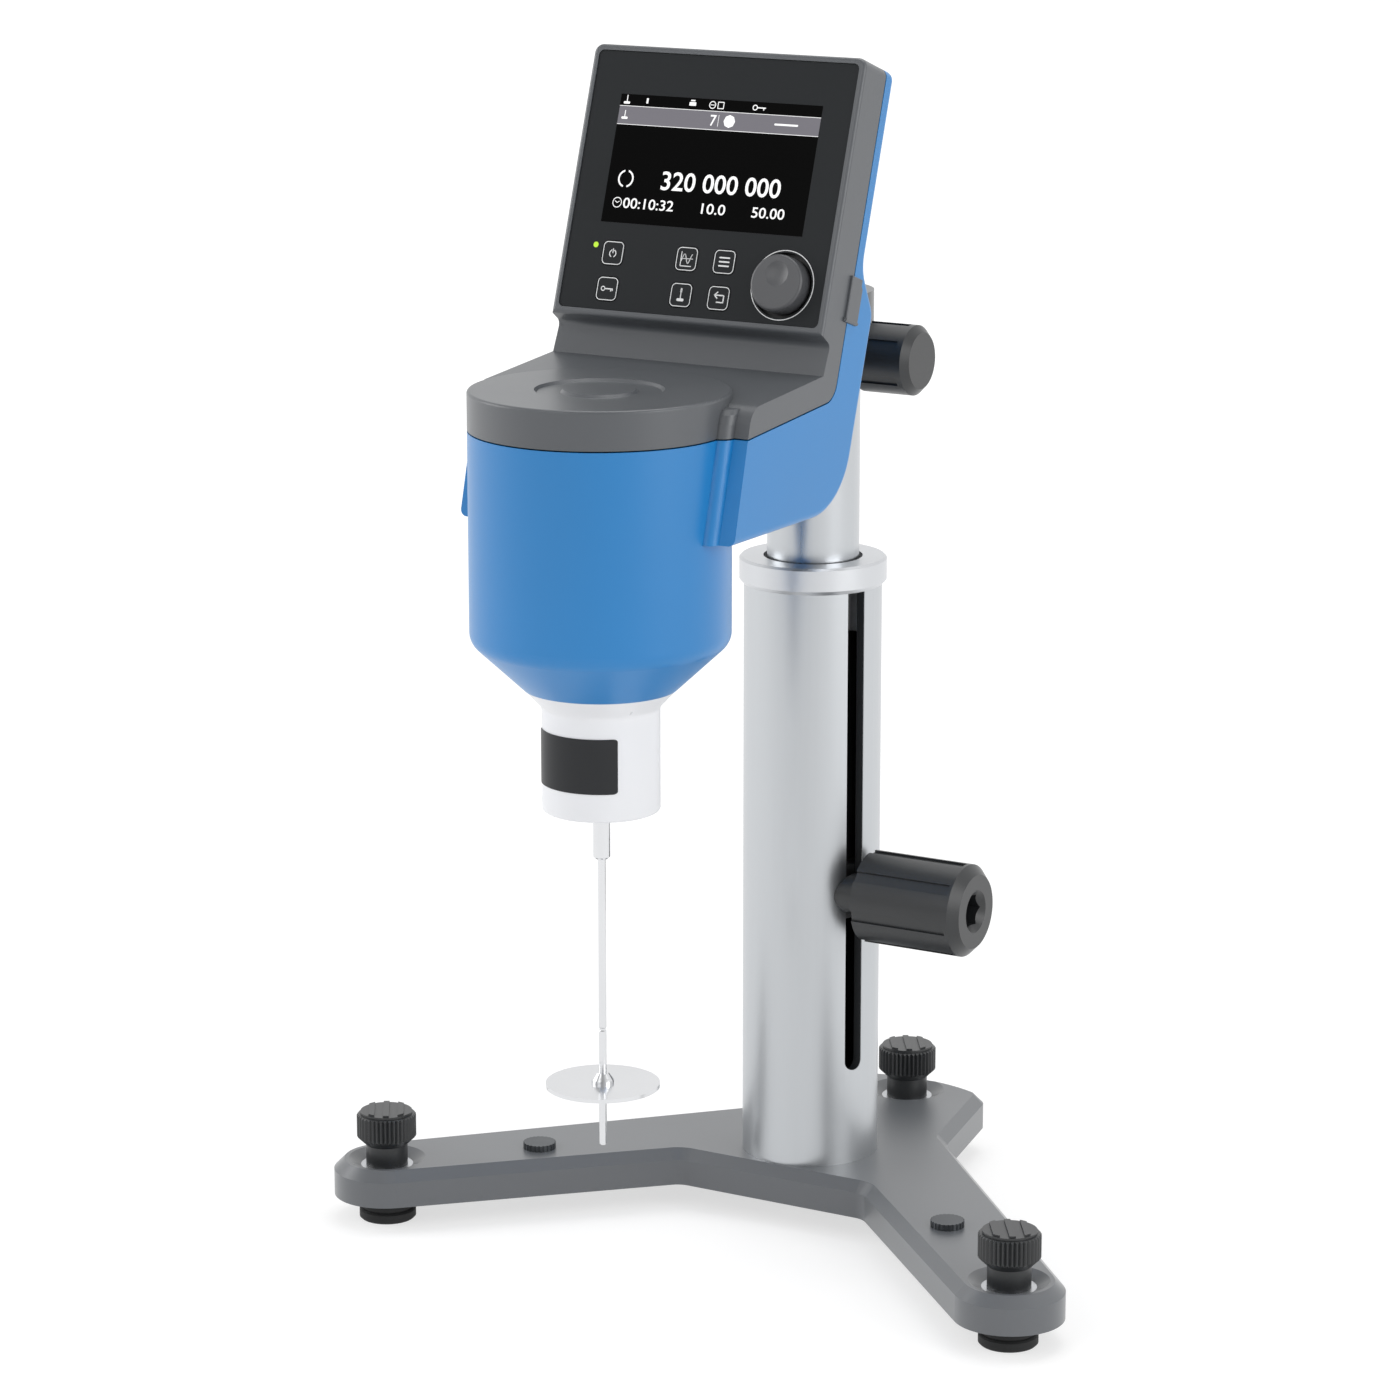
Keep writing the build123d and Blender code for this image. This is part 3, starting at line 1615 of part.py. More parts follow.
# Motor frame: chassis plate on the pillars, standoffs and motor plate
standoff_places = [
    (standoff_circle * cos(radians(angle)), standoff_circle * sin(radians(angle)))
    for angle in (30, 150, 270)
]
motor_screw_places = [(x, y) for x in (-motor_screw_x, motor_screw_x) for y in (-motor_screw_x, motor_screw_x)]
with BuildPart() as motor_frame:
    add(rod(level(0, spindle_y, chassis_z), axis_places, chassis_radius, chassis_thickness))
    add(rod(level(0, spindle_y, chassis_z), standoff_places, standoff_radius, motor_z - chassis_z))
    add(rod(level(0, spindle_y, motor_z), axis_places, motor_plate_radius, -chassis_thickness))
    add(rod(level(0, spindle_y, motor_z), axis_places, motor_pilot_radius + 0.3, -chassis_thickness), mode=Mode.SUBTRACT)
    add(
        rod(level(0, spindle_y, motor_z), motor_screw_places, screw_radius + press_gap, -chassis_thickness),
        mode=Mode.SUBTRACT,
    )
    add(rod(level(0, spindle_y, chassis_z), axis_places, 10.0, chassis_thickness), mode=Mode.SUBTRACT)
    add(
        rod(level(0, spindle_y, chassis_z), pillar_places, screw_radius + press_gap, chassis_thickness),
        mode=Mode.SUBTRACT,
    )
    add(
        box(level(0, spindle_y, chassis_z), 0, sensor_y - 6, 10, 14, chassis_thickness),
        mode=Mode.SUBTRACT,
    )
keep(motor_frame, "motor_frame")

with BuildPart() as motor_body:
    add(box(level(0, spindle_y, motor_z), 0, 0, motor_side, motor_side, motor_length, 4))
    add(rod(level(0, spindle_y, motor_z), axis_places, motor_pilot_radius, -2.0))
    add(
        rod(level(0, spindle_y, motor_z - 2), axis_places, motor_shaft_radius + running_gap, 12),
        mode=Mode.SUBTRACT,
    )
    add(
        rod(level(0, spindle_y, motor_z), motor_screw_places, screw_radius + press_gap, 6),
        mode=Mode.SUBTRACT,
    )
keep(motor_body, "motor_body")

# Light barriers at the rims of both slotted discs, on one upright board
with BuildPart() as sensor_board:
    upright = Plane(
        origin=(0, spindle_y + sensor_y, chassis_z + chassis_thickness),
        x_dir=(-1, 0, 0),
        z_dir=(0, 1, 0),
    )
    add(box(upright, 0, 13, 32, 26, 1.6))
    add(box(upright.offset(1.6), 0, 1.5, 24, 3, 5))
    for z in (measure_disc_z, drive_disc_z):
        middle = z + slotted_disc_thickness / 2 - chassis_z - chassis_thickness
        add(box(upright, 0, middle, 8, 7.6, -12))
        add(box(upright.offset(-4), 0, middle, 8, 2.4, -9), mode=Mode.SUBTRACT)
keep(sensor_board, "sensor_board")

with BuildPart() as housing_screws:
    add(socket_screws(rear_face, boss_places, screw_radius, 12, 1.8))
    add(socket_screws(board_top, board_post_places, screw_radius, 6, 1.8))
    add(
        socket_screws(
            level(0, spindle_y, chassis_z + chassis_thickness),
            pillar_places,
            screw_radius,
            chassis_thickness + 5,
            1.8,
        )
    )
    under_motor = Plane(
        origin=(0, spindle_y, motor_z - chassis_thickness),
        x_dir=(1, 0, 0),
        z_dir=(0, 0, -1),
    )
    add(socket_screws(under_motor, motor_screw_places, screw_radius, chassis_thickness + 5, 1.8))
keep(housing_screws, "housing_screws")


def slotted_disc(z, hub_radius):
    """Thin disc on the spindle axis with a ring of slots near its rim."""
    with BuildPart() as disc:
        with BuildSketch(level(0, spindle_y, z)):
            Circle(slotted_disc_radius)
            with PolarLocations(slotted_disc_radius - 2.6, disc_slots):
                Rectangle(3.0, 1.4, mode=Mode.SUBTRACT)
            with PolarLocations((slotted_disc_radius + hub_radius) / 2 - 1, 4, start_angle=45):
                Circle(2.6, mode=Mode.SUBTRACT)
        extrude(amount=slotted_disc_thickness)
    return disc.part


# Driven side: motor shaft, hub with slotted disc and spring post, spiral torsion spring
with BuildPart() as motor_shaft:
    add(rod(level(0, spindle_y, motor_shaft_z), axis_places, motor_shaft_radius, motor_z + 9 - motor_shaft_z))
keep(motor_shaft, "motor_shaft")

with BuildPart() as drive_hub:
    add(rod(level(0, spindle_y, drive_hub_z), axis_places, drive_hub_radius, drive_hub_length))
    add(slotted_disc(drive_disc_z, drive_hub_radius))
    add(rod(level(0, spindle_y, drive_disc_z), [(post_circle, 0)], post_radius, spring_z - 1 - drive_disc_z))
    add(
        rod(
            level(0, spindle_y, motor_shaft_z),
            axis_places,
            motor_shaft_radius + press_gap,
            drive_hub_length,
        ),
        mode=Mode.SUBTRACT,
    )
    add(
        rod(
            level(0, spindle_y, drive_hub_z),
            axis_places,
            measuring_shaft_radius + running_gap,
            drive_hub_length / 2,
        ),
        mode=Mode.SUBTRACT,
    )
keep(drive_hub, "drive_hub")

spiral = [
    (spring_inner_radius + (spring_outer_radius - spring_inner_radius) * step / spring_steps, 2 * pi * spring_turns * step / spring_steps)
    for step in range(spring_steps + 1)
]
outer_side = [((r + spring_strip / 2) * cos(a), (r + spring_strip / 2) * sin(a)) for r, a in spiral]
inner_side = [((r - spring_strip / 2) * cos(a), (r - spring_strip / 2) * sin(a)) for r, a in reversed(spiral)]
with BuildPart() as torsion_spring:
    with BuildSketch(level(0, spindle_y, spring_z)):
        with BuildLine():
            Polyline(*outer_side, *inner_side, close=True)
        make_face()
    extrude(amount=spring_height)
keep(torsion_spring, "torsion_spring")

# Measuring side: shaft with collet, slotted disc and coupling, and the spindle hung from it
with BuildPart() as measuring_shaft:
    add(
        turned(
            0,
            spindle_y,
            [
                (0, coupling_seam_z - coupling_stub),
                (stub_radius, coupling_seam_z - coupling_stub),
                (stub_radius, coupling_seam_z),
                (coupling_radius, coupling_seam_z),
                (coupling_radius, neck_bottom_z + 1.6),
                (measuring_shaft_radius, neck_bottom_z + 1.6),
                (measuring_shaft_radius, collet_z),
                (collet_radius, collet_z),
                (collet_radius, spring_z + 1),
                (measuring_shaft_radius, spring_z + 1),
                (measuring_shaft_radius, motor_shaft_z - 0.5),
                (0, motor_shaft_z - 0.5),
            ],
        )
    )
    add(slotted_disc(measure_disc_z, collet_radius))
keep(measuring_shaft, "measuring_shaft")

with BuildPart() as spindle:
    add(
        turned(
            0,
            spindle_y,
            [
                (stub_radius + press_gap, coupling_seam_z),
                (coupling_radius, coupling_seam_z),
                (coupling_radius, coupling_bottom_z + 0.8),
                (coupling_radius - 0.8, coupling_bottom_z),
                (spindle_radius, coupling_bottom_z),
                (spindle_radius, groove_z + 0.8),
                (spindle_radius - 0.35, groove_z + 0.4),
                (spindle_radius - 0.35, groove_z - 0.4),
                (spindle_radius, groove_z - 0.8),
                (spindle_radius, hub_top_z),
                (spindle_radius + 1.0, hub_top_z),
                (hub_widest_radius, hub_widest_z),
                (hub_widest_radius, disc_top_z),
                (disc_radius, disc_top_z),
                (disc_radius, disc_top_z - disc_thickness),
                (hub_widest_radius - 1.4, disc_top_z - disc_thickness),
                (spindle_radius, disc_top_z - disc_thickness - 1.6),
                (spindle_radius, spindle_tip_z + 0.7),
                (spindle_radius - 0.7, spindle_tip_z),
                (0, spindle_tip_z),
                (0, coupling_seam_z - coupling_stub - 0.5),
                (stub_radius + press_gap, coupling_seam_z - coupling_stub - 0.5),
            ],
        )
    )
keep(spindle, "spindle")
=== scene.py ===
"""Looks of a rotational viscometer: finishes, printed marks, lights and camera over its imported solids."""

from __future__ import annotations

import logging
import math
from dataclasses import dataclass
from enum import Enum
from typing import Iterable, Sequence

import bmesh
import bpy
from mathutils import Matrix, Vector


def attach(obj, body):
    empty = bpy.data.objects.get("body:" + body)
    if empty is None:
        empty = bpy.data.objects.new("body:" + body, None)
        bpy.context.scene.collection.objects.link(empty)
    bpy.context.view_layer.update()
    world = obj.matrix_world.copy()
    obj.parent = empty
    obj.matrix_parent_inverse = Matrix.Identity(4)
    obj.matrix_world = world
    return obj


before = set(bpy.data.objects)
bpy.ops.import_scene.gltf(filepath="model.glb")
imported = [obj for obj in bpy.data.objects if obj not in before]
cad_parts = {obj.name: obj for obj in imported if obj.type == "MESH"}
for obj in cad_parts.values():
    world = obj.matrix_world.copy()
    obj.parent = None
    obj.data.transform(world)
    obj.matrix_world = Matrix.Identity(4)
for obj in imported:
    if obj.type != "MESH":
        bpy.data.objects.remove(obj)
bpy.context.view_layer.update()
LOG = logging.getLogger("viscometer")
MM = 0.001

Colour = tuple[float, float, float]
Point = tuple[float, float]


def rgb(code: str) -> Colour:
    """Turn a display colour code into linear light.

    Args:
        code: six hexadecimal digits.

    Returns:
        The linear red, green and blue.
    """
    parts = [int(code[i : i + 2], 16) / 255 for i in (0, 2, 4)]
    red, green, blue = (p / 12.92 if p <= 0.04045 else ((p + 0.055) / 1.055) ** 2.4 for p in parts)
    return red, green, blue


class Value:
    """A socket of a shader graph that takes part in arithmetic."""

    def __init__(self, graph: Graph, socket: bpy.types.NodeSocket) -> None:
        """Wrap one output socket of a graph."""
        self.graph = graph
        self.socket = socket

    def __add__(self, other: Value | float) -> Value:
        """Sum."""
        return self.graph.math("ADD", self, other)

    def __radd__(self, other: float) -> Value:
        """Sum with a number on the left."""
        return self.graph.math("ADD", other, self)

    def __sub__(self, other: Value | float) -> Value:
        """Difference."""
        return self.graph.math("SUBTRACT", self, other)

    def __rsub__(self, other: float) -> Value:
        """Difference from a number."""
        return self.graph.math("SUBTRACT", other, self)

    def __mul__(self, other: Value | float) -> Value:
        """Product."""
        return self.graph.math("MULTIPLY", self, other)

    def __rmul__(self, other: float) -> Value:
        """Product with a number on the left."""
        return self.graph.math("MULTIPLY", other, self)

    def above(self, edge: float) -> Value:
        """Give 1 where the value is over an edge, else 0."""
        return self.graph.math("GREATER_THAN", self, edge)

    def ramp(self, low: float, high: float) -> Value:
        """Spread the values between two bounds over 0 to 1."""
        bounds = {"Value": self, "From Min": low, "From Max": high}
        return self.graph.value("ShaderNodeMapRange", "Result", {}, bounds)


class Graph:
    """The node tree of one material or of the world."""

    def __init__(self, owner: bpy.types.Material | bpy.types.World) -> None:
        """Clear the owner's node tree and start again."""
        owner.use_nodes = True
        self.tree = owner.node_tree
        self.tree.nodes.clear()

    def node(
        self,
        kind: str,
        settings: dict[str, object] | None = None,
        sockets: dict[str | int, object] | None = None,
    ) -> bpy.types.Node:
        """Add a node.

        Args:
            kind: the node's type.
            settings: its own settings, set first.
            sockets: values or links of its inputs.

        Returns:
            The new node.
        """
        node = self.tree.nodes.new(kind)
        for key, setting in (settings or {}).items():
            setattr(node, key, setting)
        for key, value in (sockets or {}).items():
            if isinstance(value, Value):
                self.tree.links.new(value.socket, node.inputs[key])
            else:
                node.inputs[key].default_value = value
        return node

    def value(
        self,
        kind: str,
        output: str | int,
        settings: dict[str, object] | None = None,
        sockets: dict[str | int, object] | None = None,
    ) -> Value:
        """Add a node as node() does and return one of its outputs."""
        return Value(self, self.node(kind, settings, sockets).outputs[output])

    def math(self, operation: str, *terms: Value | float) -> Value:
        """Add a Math node for the terms."""
        return self.value("ShaderNodeMath", 0, {"operation": operation}, dict(enumerate(terms)))

    def place(self, stretch: Sequence[float] = (1, 1, 1)) -> Value:
        """Object coordinates, stretched along each axis."""
        coordinates = self.value("ShaderNodeTexCoord", "Object")
        return self.value("ShaderNodeMapping", 0, {}, {"Vector": coordinates, "Scale": stretch})

    def noise(self, scale: float, detail: float, stretch: Sequence[float] = (1, 1, 1)) -> Value:
        """Noise in object space.

        Args:
            scale: waves per metre.
            detail: octaves.
            stretch: scale of each axis.

        Returns:
            The noise, about 0.5.
        """
        sockets = {"Vector": self.place(stretch), "Scale": scale, "Detail": detail}
        return self.value("ShaderNodeTexNoise", 0, {}, sockets)

    def mix(self, share: Value | float, low: Colour, high: Colour | Value) -> Value:
        """Blend a plain colour into another, plain or worked.

        Args:
            share: how much of the second colour shows.
            low: first colour.
            high: second colour.

        Returns:
            The blend.
        """
        second = high if isinstance(high, Value) else (*high, 1.0)
        return self.value("ShaderNodeMix", 2, {"data_type": "RGBA"}, {0: share, 6: (*low, 1.0), 7: second})

    def bump(self, height: Value, strength: float, reach: float) -> Value:
        """Turn a height into a normal.

        Args:
            height: the relief, 0 to 1.
            strength: share of the effect.
            reach: depth of the relief in metres.

        Returns:
            The normal.
        """
        relief = {"Height": height, "Strength": strength, "Distance": reach}
        return self.value("ShaderNodeBump", 0, {}, relief)

    def surface(self, **sockets: object) -> None:
        """Close the graph with a Principled shader.

        Args:
            **sockets: values or links of its inputs; underscores in their names stand for spaces.
        """
        named = {key.replace("_", " "): value for key, value in sockets.items()}
        shader = self.value("ShaderNodeBsdfPrincipled", 0, {}, named)
        self.node("ShaderNodeOutputMaterial", {}, {"Surface": shader})


def shade(colour: Colour, factor: float) -> Colour:
    """Scale a colour's brightness, up to white."""
    red, green, blue = (min(1.0, part * factor) for part in colour)
    return red, green, blue


@dataclass(frozen=True)
class Finish:
    """A surface finish that becomes one material."""

    name: str
    colour: Colour
    roughness: float = 0.4

    def dress(self, graph: Graph) -> None:
        """Build the finish's nodes.

        Args:
            graph: node tree of the new material.
        """
        raise NotImplementedError

    def material(self) -> bpy.types.Material:
        """Find the finish's material, or make it on first use.

        Returns:
            The material.
        """
        found = bpy.data.materials.get(self.name)
        if found is None:
            found = bpy.data.materials.new(self.name)
            self.dress(Graph(found))
            found.diffuse_color = (*self.colour, 1.0)
        return found


@dataclass(frozen=True)
class MouldedPlastic(Finish):
    """Injection-moulded plastic: fine spark-eroded grain with a faint uneven gloss."""

    grain: float = 0.00003
    grain_scale: float = 2600.0
    gloss: float = 0.35

    def dress(self, graph: Graph) -> None:
        """Build grain, gloss patches and slight tone changes.

        Args:
            graph: node tree of the new material.
        """
        grain = graph.noise(self.grain_scale, 2.0)
        cloud = graph.noise(14.0, 4.0)
        graph.surface(
            Base_Color=graph.mix(cloud, shade(self.colour, 0.95), shade(self.colour, 1.05)),
            Roughness=self.roughness + 0.10 * (cloud - 0.5) + 0.08 * (grain - 0.5),
            Coat_Weight=self.gloss,
            Coat_Roughness=0.3,
            Normal=graph.bump(grain, 0.35, self.grain),
        )


@dataclass(frozen=True)
class PowderCoat(Finish):
    """Baked powder paint: a low orange-peel relief under a satin skin."""

    peel: float = 0.00006

    def dress(self, graph: Graph) -> None:
        """Build the relief and the satin skin.

        Args:
            graph: node tree of the new material.
        """
        peel = graph.noise(420.0, 2.0)
        speck = graph.noise(3000.0, 1.0)
        cloud = graph.noise(9.0, 3.0)
        graph.surface(
            Base_Color=graph.mix(
                0.7 * cloud + 0.3 * speck, shade(self.colour, 0.93), shade(self.colour, 1.07)
            ),
            Roughness=self.roughness + 0.08 * (speck - 0.5) + 0.06 * (cloud - 0.5),
            Coat_Weight=0.75,
            Coat_Roughness=0.35,
            Normal=graph.bump(peel, 0.3, self.peel),
        )


@dataclass(frozen=True)
class DrawnAluminium(Finish):
    """Anodised drawn aluminium: long fine drawing lines up the tube, with near-black painted shade inside
    its outer skin.
    """

    line: float = 0.00001
    axis_y: float = 0.05785
    skin: float = 0.0
    # near-black colour painted inside the tube as shade; it is not the metal's own colour
    bore_painted_shade: Colour = (0.02, 0.022, 0.025)

    def dress(self, graph: Graph) -> None:
        """Build the drawing lines, a soft anodised tone and near-black painted shade inside the skin.

        Args:
            graph: node tree of the new material.
        """
        lines = graph.noise(1500.0, 2.0, (1, 1, 0.01))
        broad = graph.noise(60.0, 2.0, (1, 1, 0.02))
        here = graph.value("ShaderNodeTexCoord", "Object")
        point = graph.node("ShaderNodeSeparateXYZ", {}, {0: here})
        across = Value(graph, point.outputs[0])
        along = Value(graph, point.outputs[1]) - self.axis_y
        radius = graph.math("SQRT", across * across + along * along)
        # inside the skin the colour is painted shade, with less metal and more roughness
        outside = radius.above(self.skin)
        tone = graph.mix(broad, shade(self.colour, 0.95), shade(self.colour, 1.04))
        graph.surface(
            Base_Color=graph.mix(outside, self.bore_painted_shade, tone),
            Metallic=0.4 + 0.6 * outside,
            Roughness=(
                self.roughness + 0.10 * (lines - 0.5) + 0.05 * (broad - 0.5) + 0.2 * (1 - outside)
            ),
            Normal=graph.bump(lines, 0.2, self.line),
        )


@dataclass(frozen=True)
class TurnedMetal(Finish):
    """Metal turned on a lathe about the upright axis: fine rings round the piece."""

    pitch: float = 5000.0
    relief: float = 0.000006

    def dress(self, graph: Graph) -> None:
        """Build the turning rings and a slight tone change.

        Args:
            graph: node tree of the new material.
        """
        rings = graph.noise(self.pitch, 2.0, (0.02, 0.02, 1))
        cloud = graph.noise(30.0, 2.0)
        graph.surface(
            Base_Color=graph.mix(cloud, shade(self.colour, 0.94), shade(self.colour, 1.04)),
            Metallic=1.0,
            Roughness=self.roughness + 0.10 * (rings - 0.5) + 0.05 * (cloud - 0.5),
            Normal=graph.bump(rings, 0.25, self.relief),
        )


@dataclass(frozen=True)
class PrintedFilm(Finish):
    """Polyester overlay: fine matt texture over a dark print."""

    specular: float = 0.2

    def dress(self, graph: Graph) -> None:
        """Build the film's texture.

        Args:
            graph: node tree of the new material.
        """
        texture = graph.noise(4200.0, 1.0)
        cloud = graph.noise(22.0, 2.0)
        graph.surface(
            Base_Color=graph.mix(cloud, shade(self.colour, 0.94), shade(self.colour, 1.06)),
            Roughness=self.roughness + 0.06 * (texture - 0.5) + 0.04 * (cloud - 0.5),
            Specular_IOR_Level=self.specular,
            Normal=graph.bump(texture, 0.2, 0.00001),
        )


@dataclass(frozen=True)
class LitMark(Finish):
    """A mark that gives light, on a display or a pilot light."""

    glow: float = 1.0

    def dress(self, graph: Graph) -> None:
        """Build the glow, slightly uneven as a backlight is.

        Args:
            graph: node tree of the new material.
        """
        cloud = graph.noise(40.0, 1.0)
        graph.surface(
            Base_Color=(*shade(self.colour, 0.2), 1.0),
            Roughness=0.4,
            Emission_Color=graph.mix(cloud, shade(self.colour, 0.96), self.colour),
            Emission_Strength=self.glow,
        )


@dataclass(frozen=True)
class CircuitBoard(Finish):
    """Board with a solder mask and copper areas showing through it."""

    def dress(self, graph: Graph) -> None:
        """Build the copper areas and the mask's gloss.

        Args:
            graph: node tree of the new material.
        """
        grid = {"Vector": graph.place(), "Scale": 260.0}
        cells = graph.value("ShaderNodeTexVoronoi", "Color", {"distance": "MANHATTAN"}, grid)
        tone = graph.value("ShaderNodeSeparateColor", 0, {}, {0: cells})
        graph.surface(
            Base_Color=graph.mix(tone.above(0.6), self.colour, shade(self.colour, 1.9)),
            Roughness=self.roughness + 0.1 * (tone - 0.5),
            Coat_Weight=0.3,
        )


class Kit:
    """The finishes of this instrument."""

    BASE = PowderCoat("grey powder coat", rgb("575A5E"), 0.4)
    BRACKET = PowderCoat("bracket powder coat", rgb("3A3D40"), 0.42)
    BLUE = MouldedPlastic("blue housing plastic", rgb("0A77B9"), 0.4, 0.00002)
    GREY = MouldedPlastic("grey housing plastic", rgb("505357"), 0.42, 0.00003)
    WHITE = MouldedPlastic("white housing plastic", rgb("E3E4E7"), 0.4, 0.00002)
    KNOB = MouldedPlastic("black knob plastic", rgb("202224"), 0.45, 0.00004, 2200.0)
    DIAL = MouldedPlastic("dial plastic", rgb("4A4B4E"), 0.45, 0.00003)
    RUBBER = MouldedPlastic("black rubber", rgb("161718"), 0.7, 0.00006, 1500.0, 0.0)
    POLYMER = MouldedPlastic("black guide polymer", rgb("141516"), 0.5, 0.00003)
    SOCKET = MouldedPlastic("socket plastic", rgb("141516"), 0.5)
    TUBE = DrawnAluminium("drawn aluminium", rgb("C2C5C8"), 0.36, skin=0.0297)
    MAST = DrawnAluminium("drawn aluminium of the inner tube", rgb("BFC2C5"), 0.3, skin=0.0196)
    TURNED = TurnedMetal("turned aluminium", rgb("CFD1D4"), 0.34)
    PLUG = TurnedMetal("darkened steel", rgb("5A5D60"), 0.4)
    STEEL = TurnedMetal("turned steel", rgb("B4B5B6"), 0.3)
    POLISHED = TurnedMetal("polished steel", rgb("DCDDDF"), 0.2, 7000.0, 0.000003)
    SPRING = TurnedMetal("spring steel", rgb("8E8C88"), 0.35)
    MOTOR = PowderCoat("motor enamel", rgb("1E1F21"), 0.4)
    FILM = PrintedFilm("panel film", rgb("27292B"), 0.4, 0.12)
    SCREEN = PrintedFilm("display pane", rgb("020202"), 0.3, 0.05)
    PLATE = PrintedFilm("bare plate film", rgb("2C2D2F"), 0.4)
    PRINT = PrintedFilm("white print", rgb("E8E9EA"), 0.5)
    LIT = LitMark("lit white", rgb("F6F6F6"), 1.0)
    LIT_GREY = LitMark("lit grey", rgb("68666D"), 0.6)
    PILOT = LitMark("pilot light", rgb("B6E22E"), 1.1)
    BOARD = CircuitBoard("board green", rgb("1C5A34"), 0.35)


def dress_node(node: str, finish: Finish) -> None:
    """Give a solid its finish, in every slot it has.

    Args:
        node: name of the solid.
        finish: what it is dressed in.
    """
    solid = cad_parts[node]
    if not solid.material_slots:
        solid.data.materials.append(None)
    for slot in solid.material_slots:
        slot.link = "OBJECT"
        slot.material = finish.material()


def add_piece(mesh: bpy.types.Mesh, name: str, finish: Finish) -> bpy.types.Object:
    """Put a mesh into the scene.

    Args:
        mesh: the finished mesh, in place.
        name: name of the piece.
        finish: what it is dressed in.

    Returns:
        The new object.
    """
    mesh.materials.clear()
    mesh.materials.append(finish.material())
    piece = bpy.data.objects.new(name, mesh)
    bpy.context.scene.collection.objects.link(piece)
    return piece


@dataclass
class SubAssembly:
    """A group of solids that move together or are looked at together."""

    name: str
    dressing: dict[str, Finish]

    def build(self) -> None:
        """Dress each solid and add the group's own pieces."""
        for node, finish in self.dressing.items():
            dress_node(node, finish)
            LOG.info("%s: %s in %s", self.name, node, finish.name)
        self.detail()

    def detail(self) -> None:
        """Add the group's own pieces; most groups have none."""


@dataclass(frozen=True)
class PanelFace:
    """The tilted plane of the front panel."""

    tilt: float = math.radians(18.5)
    foot_y: float = -51.15
    foot_z: float = 414.2
    front: float = 0.4

    def matrix(self, lift: float) -> Matrix:
        """Transform from panel millimetres to the scene.

        Args:
            lift: height above the panel's face in millimetres.

        Returns:
            The matrix, with x to the right, y up the panel and z out of it.
        """
        right = Vector((1, 0, 0))
        up = Vector((0, math.sin(self.tilt), math.cos(self.tilt)))
        out = right.cross(up)
        foot = Vector((0, self.foot_y, self.foot_z)) + out * (lift - self.front)
        turn = Matrix((right, up, out)).transposed().to_4x4()
        return Matrix.Scale(MM, 4) @ Matrix.Translation(foot) @ turn


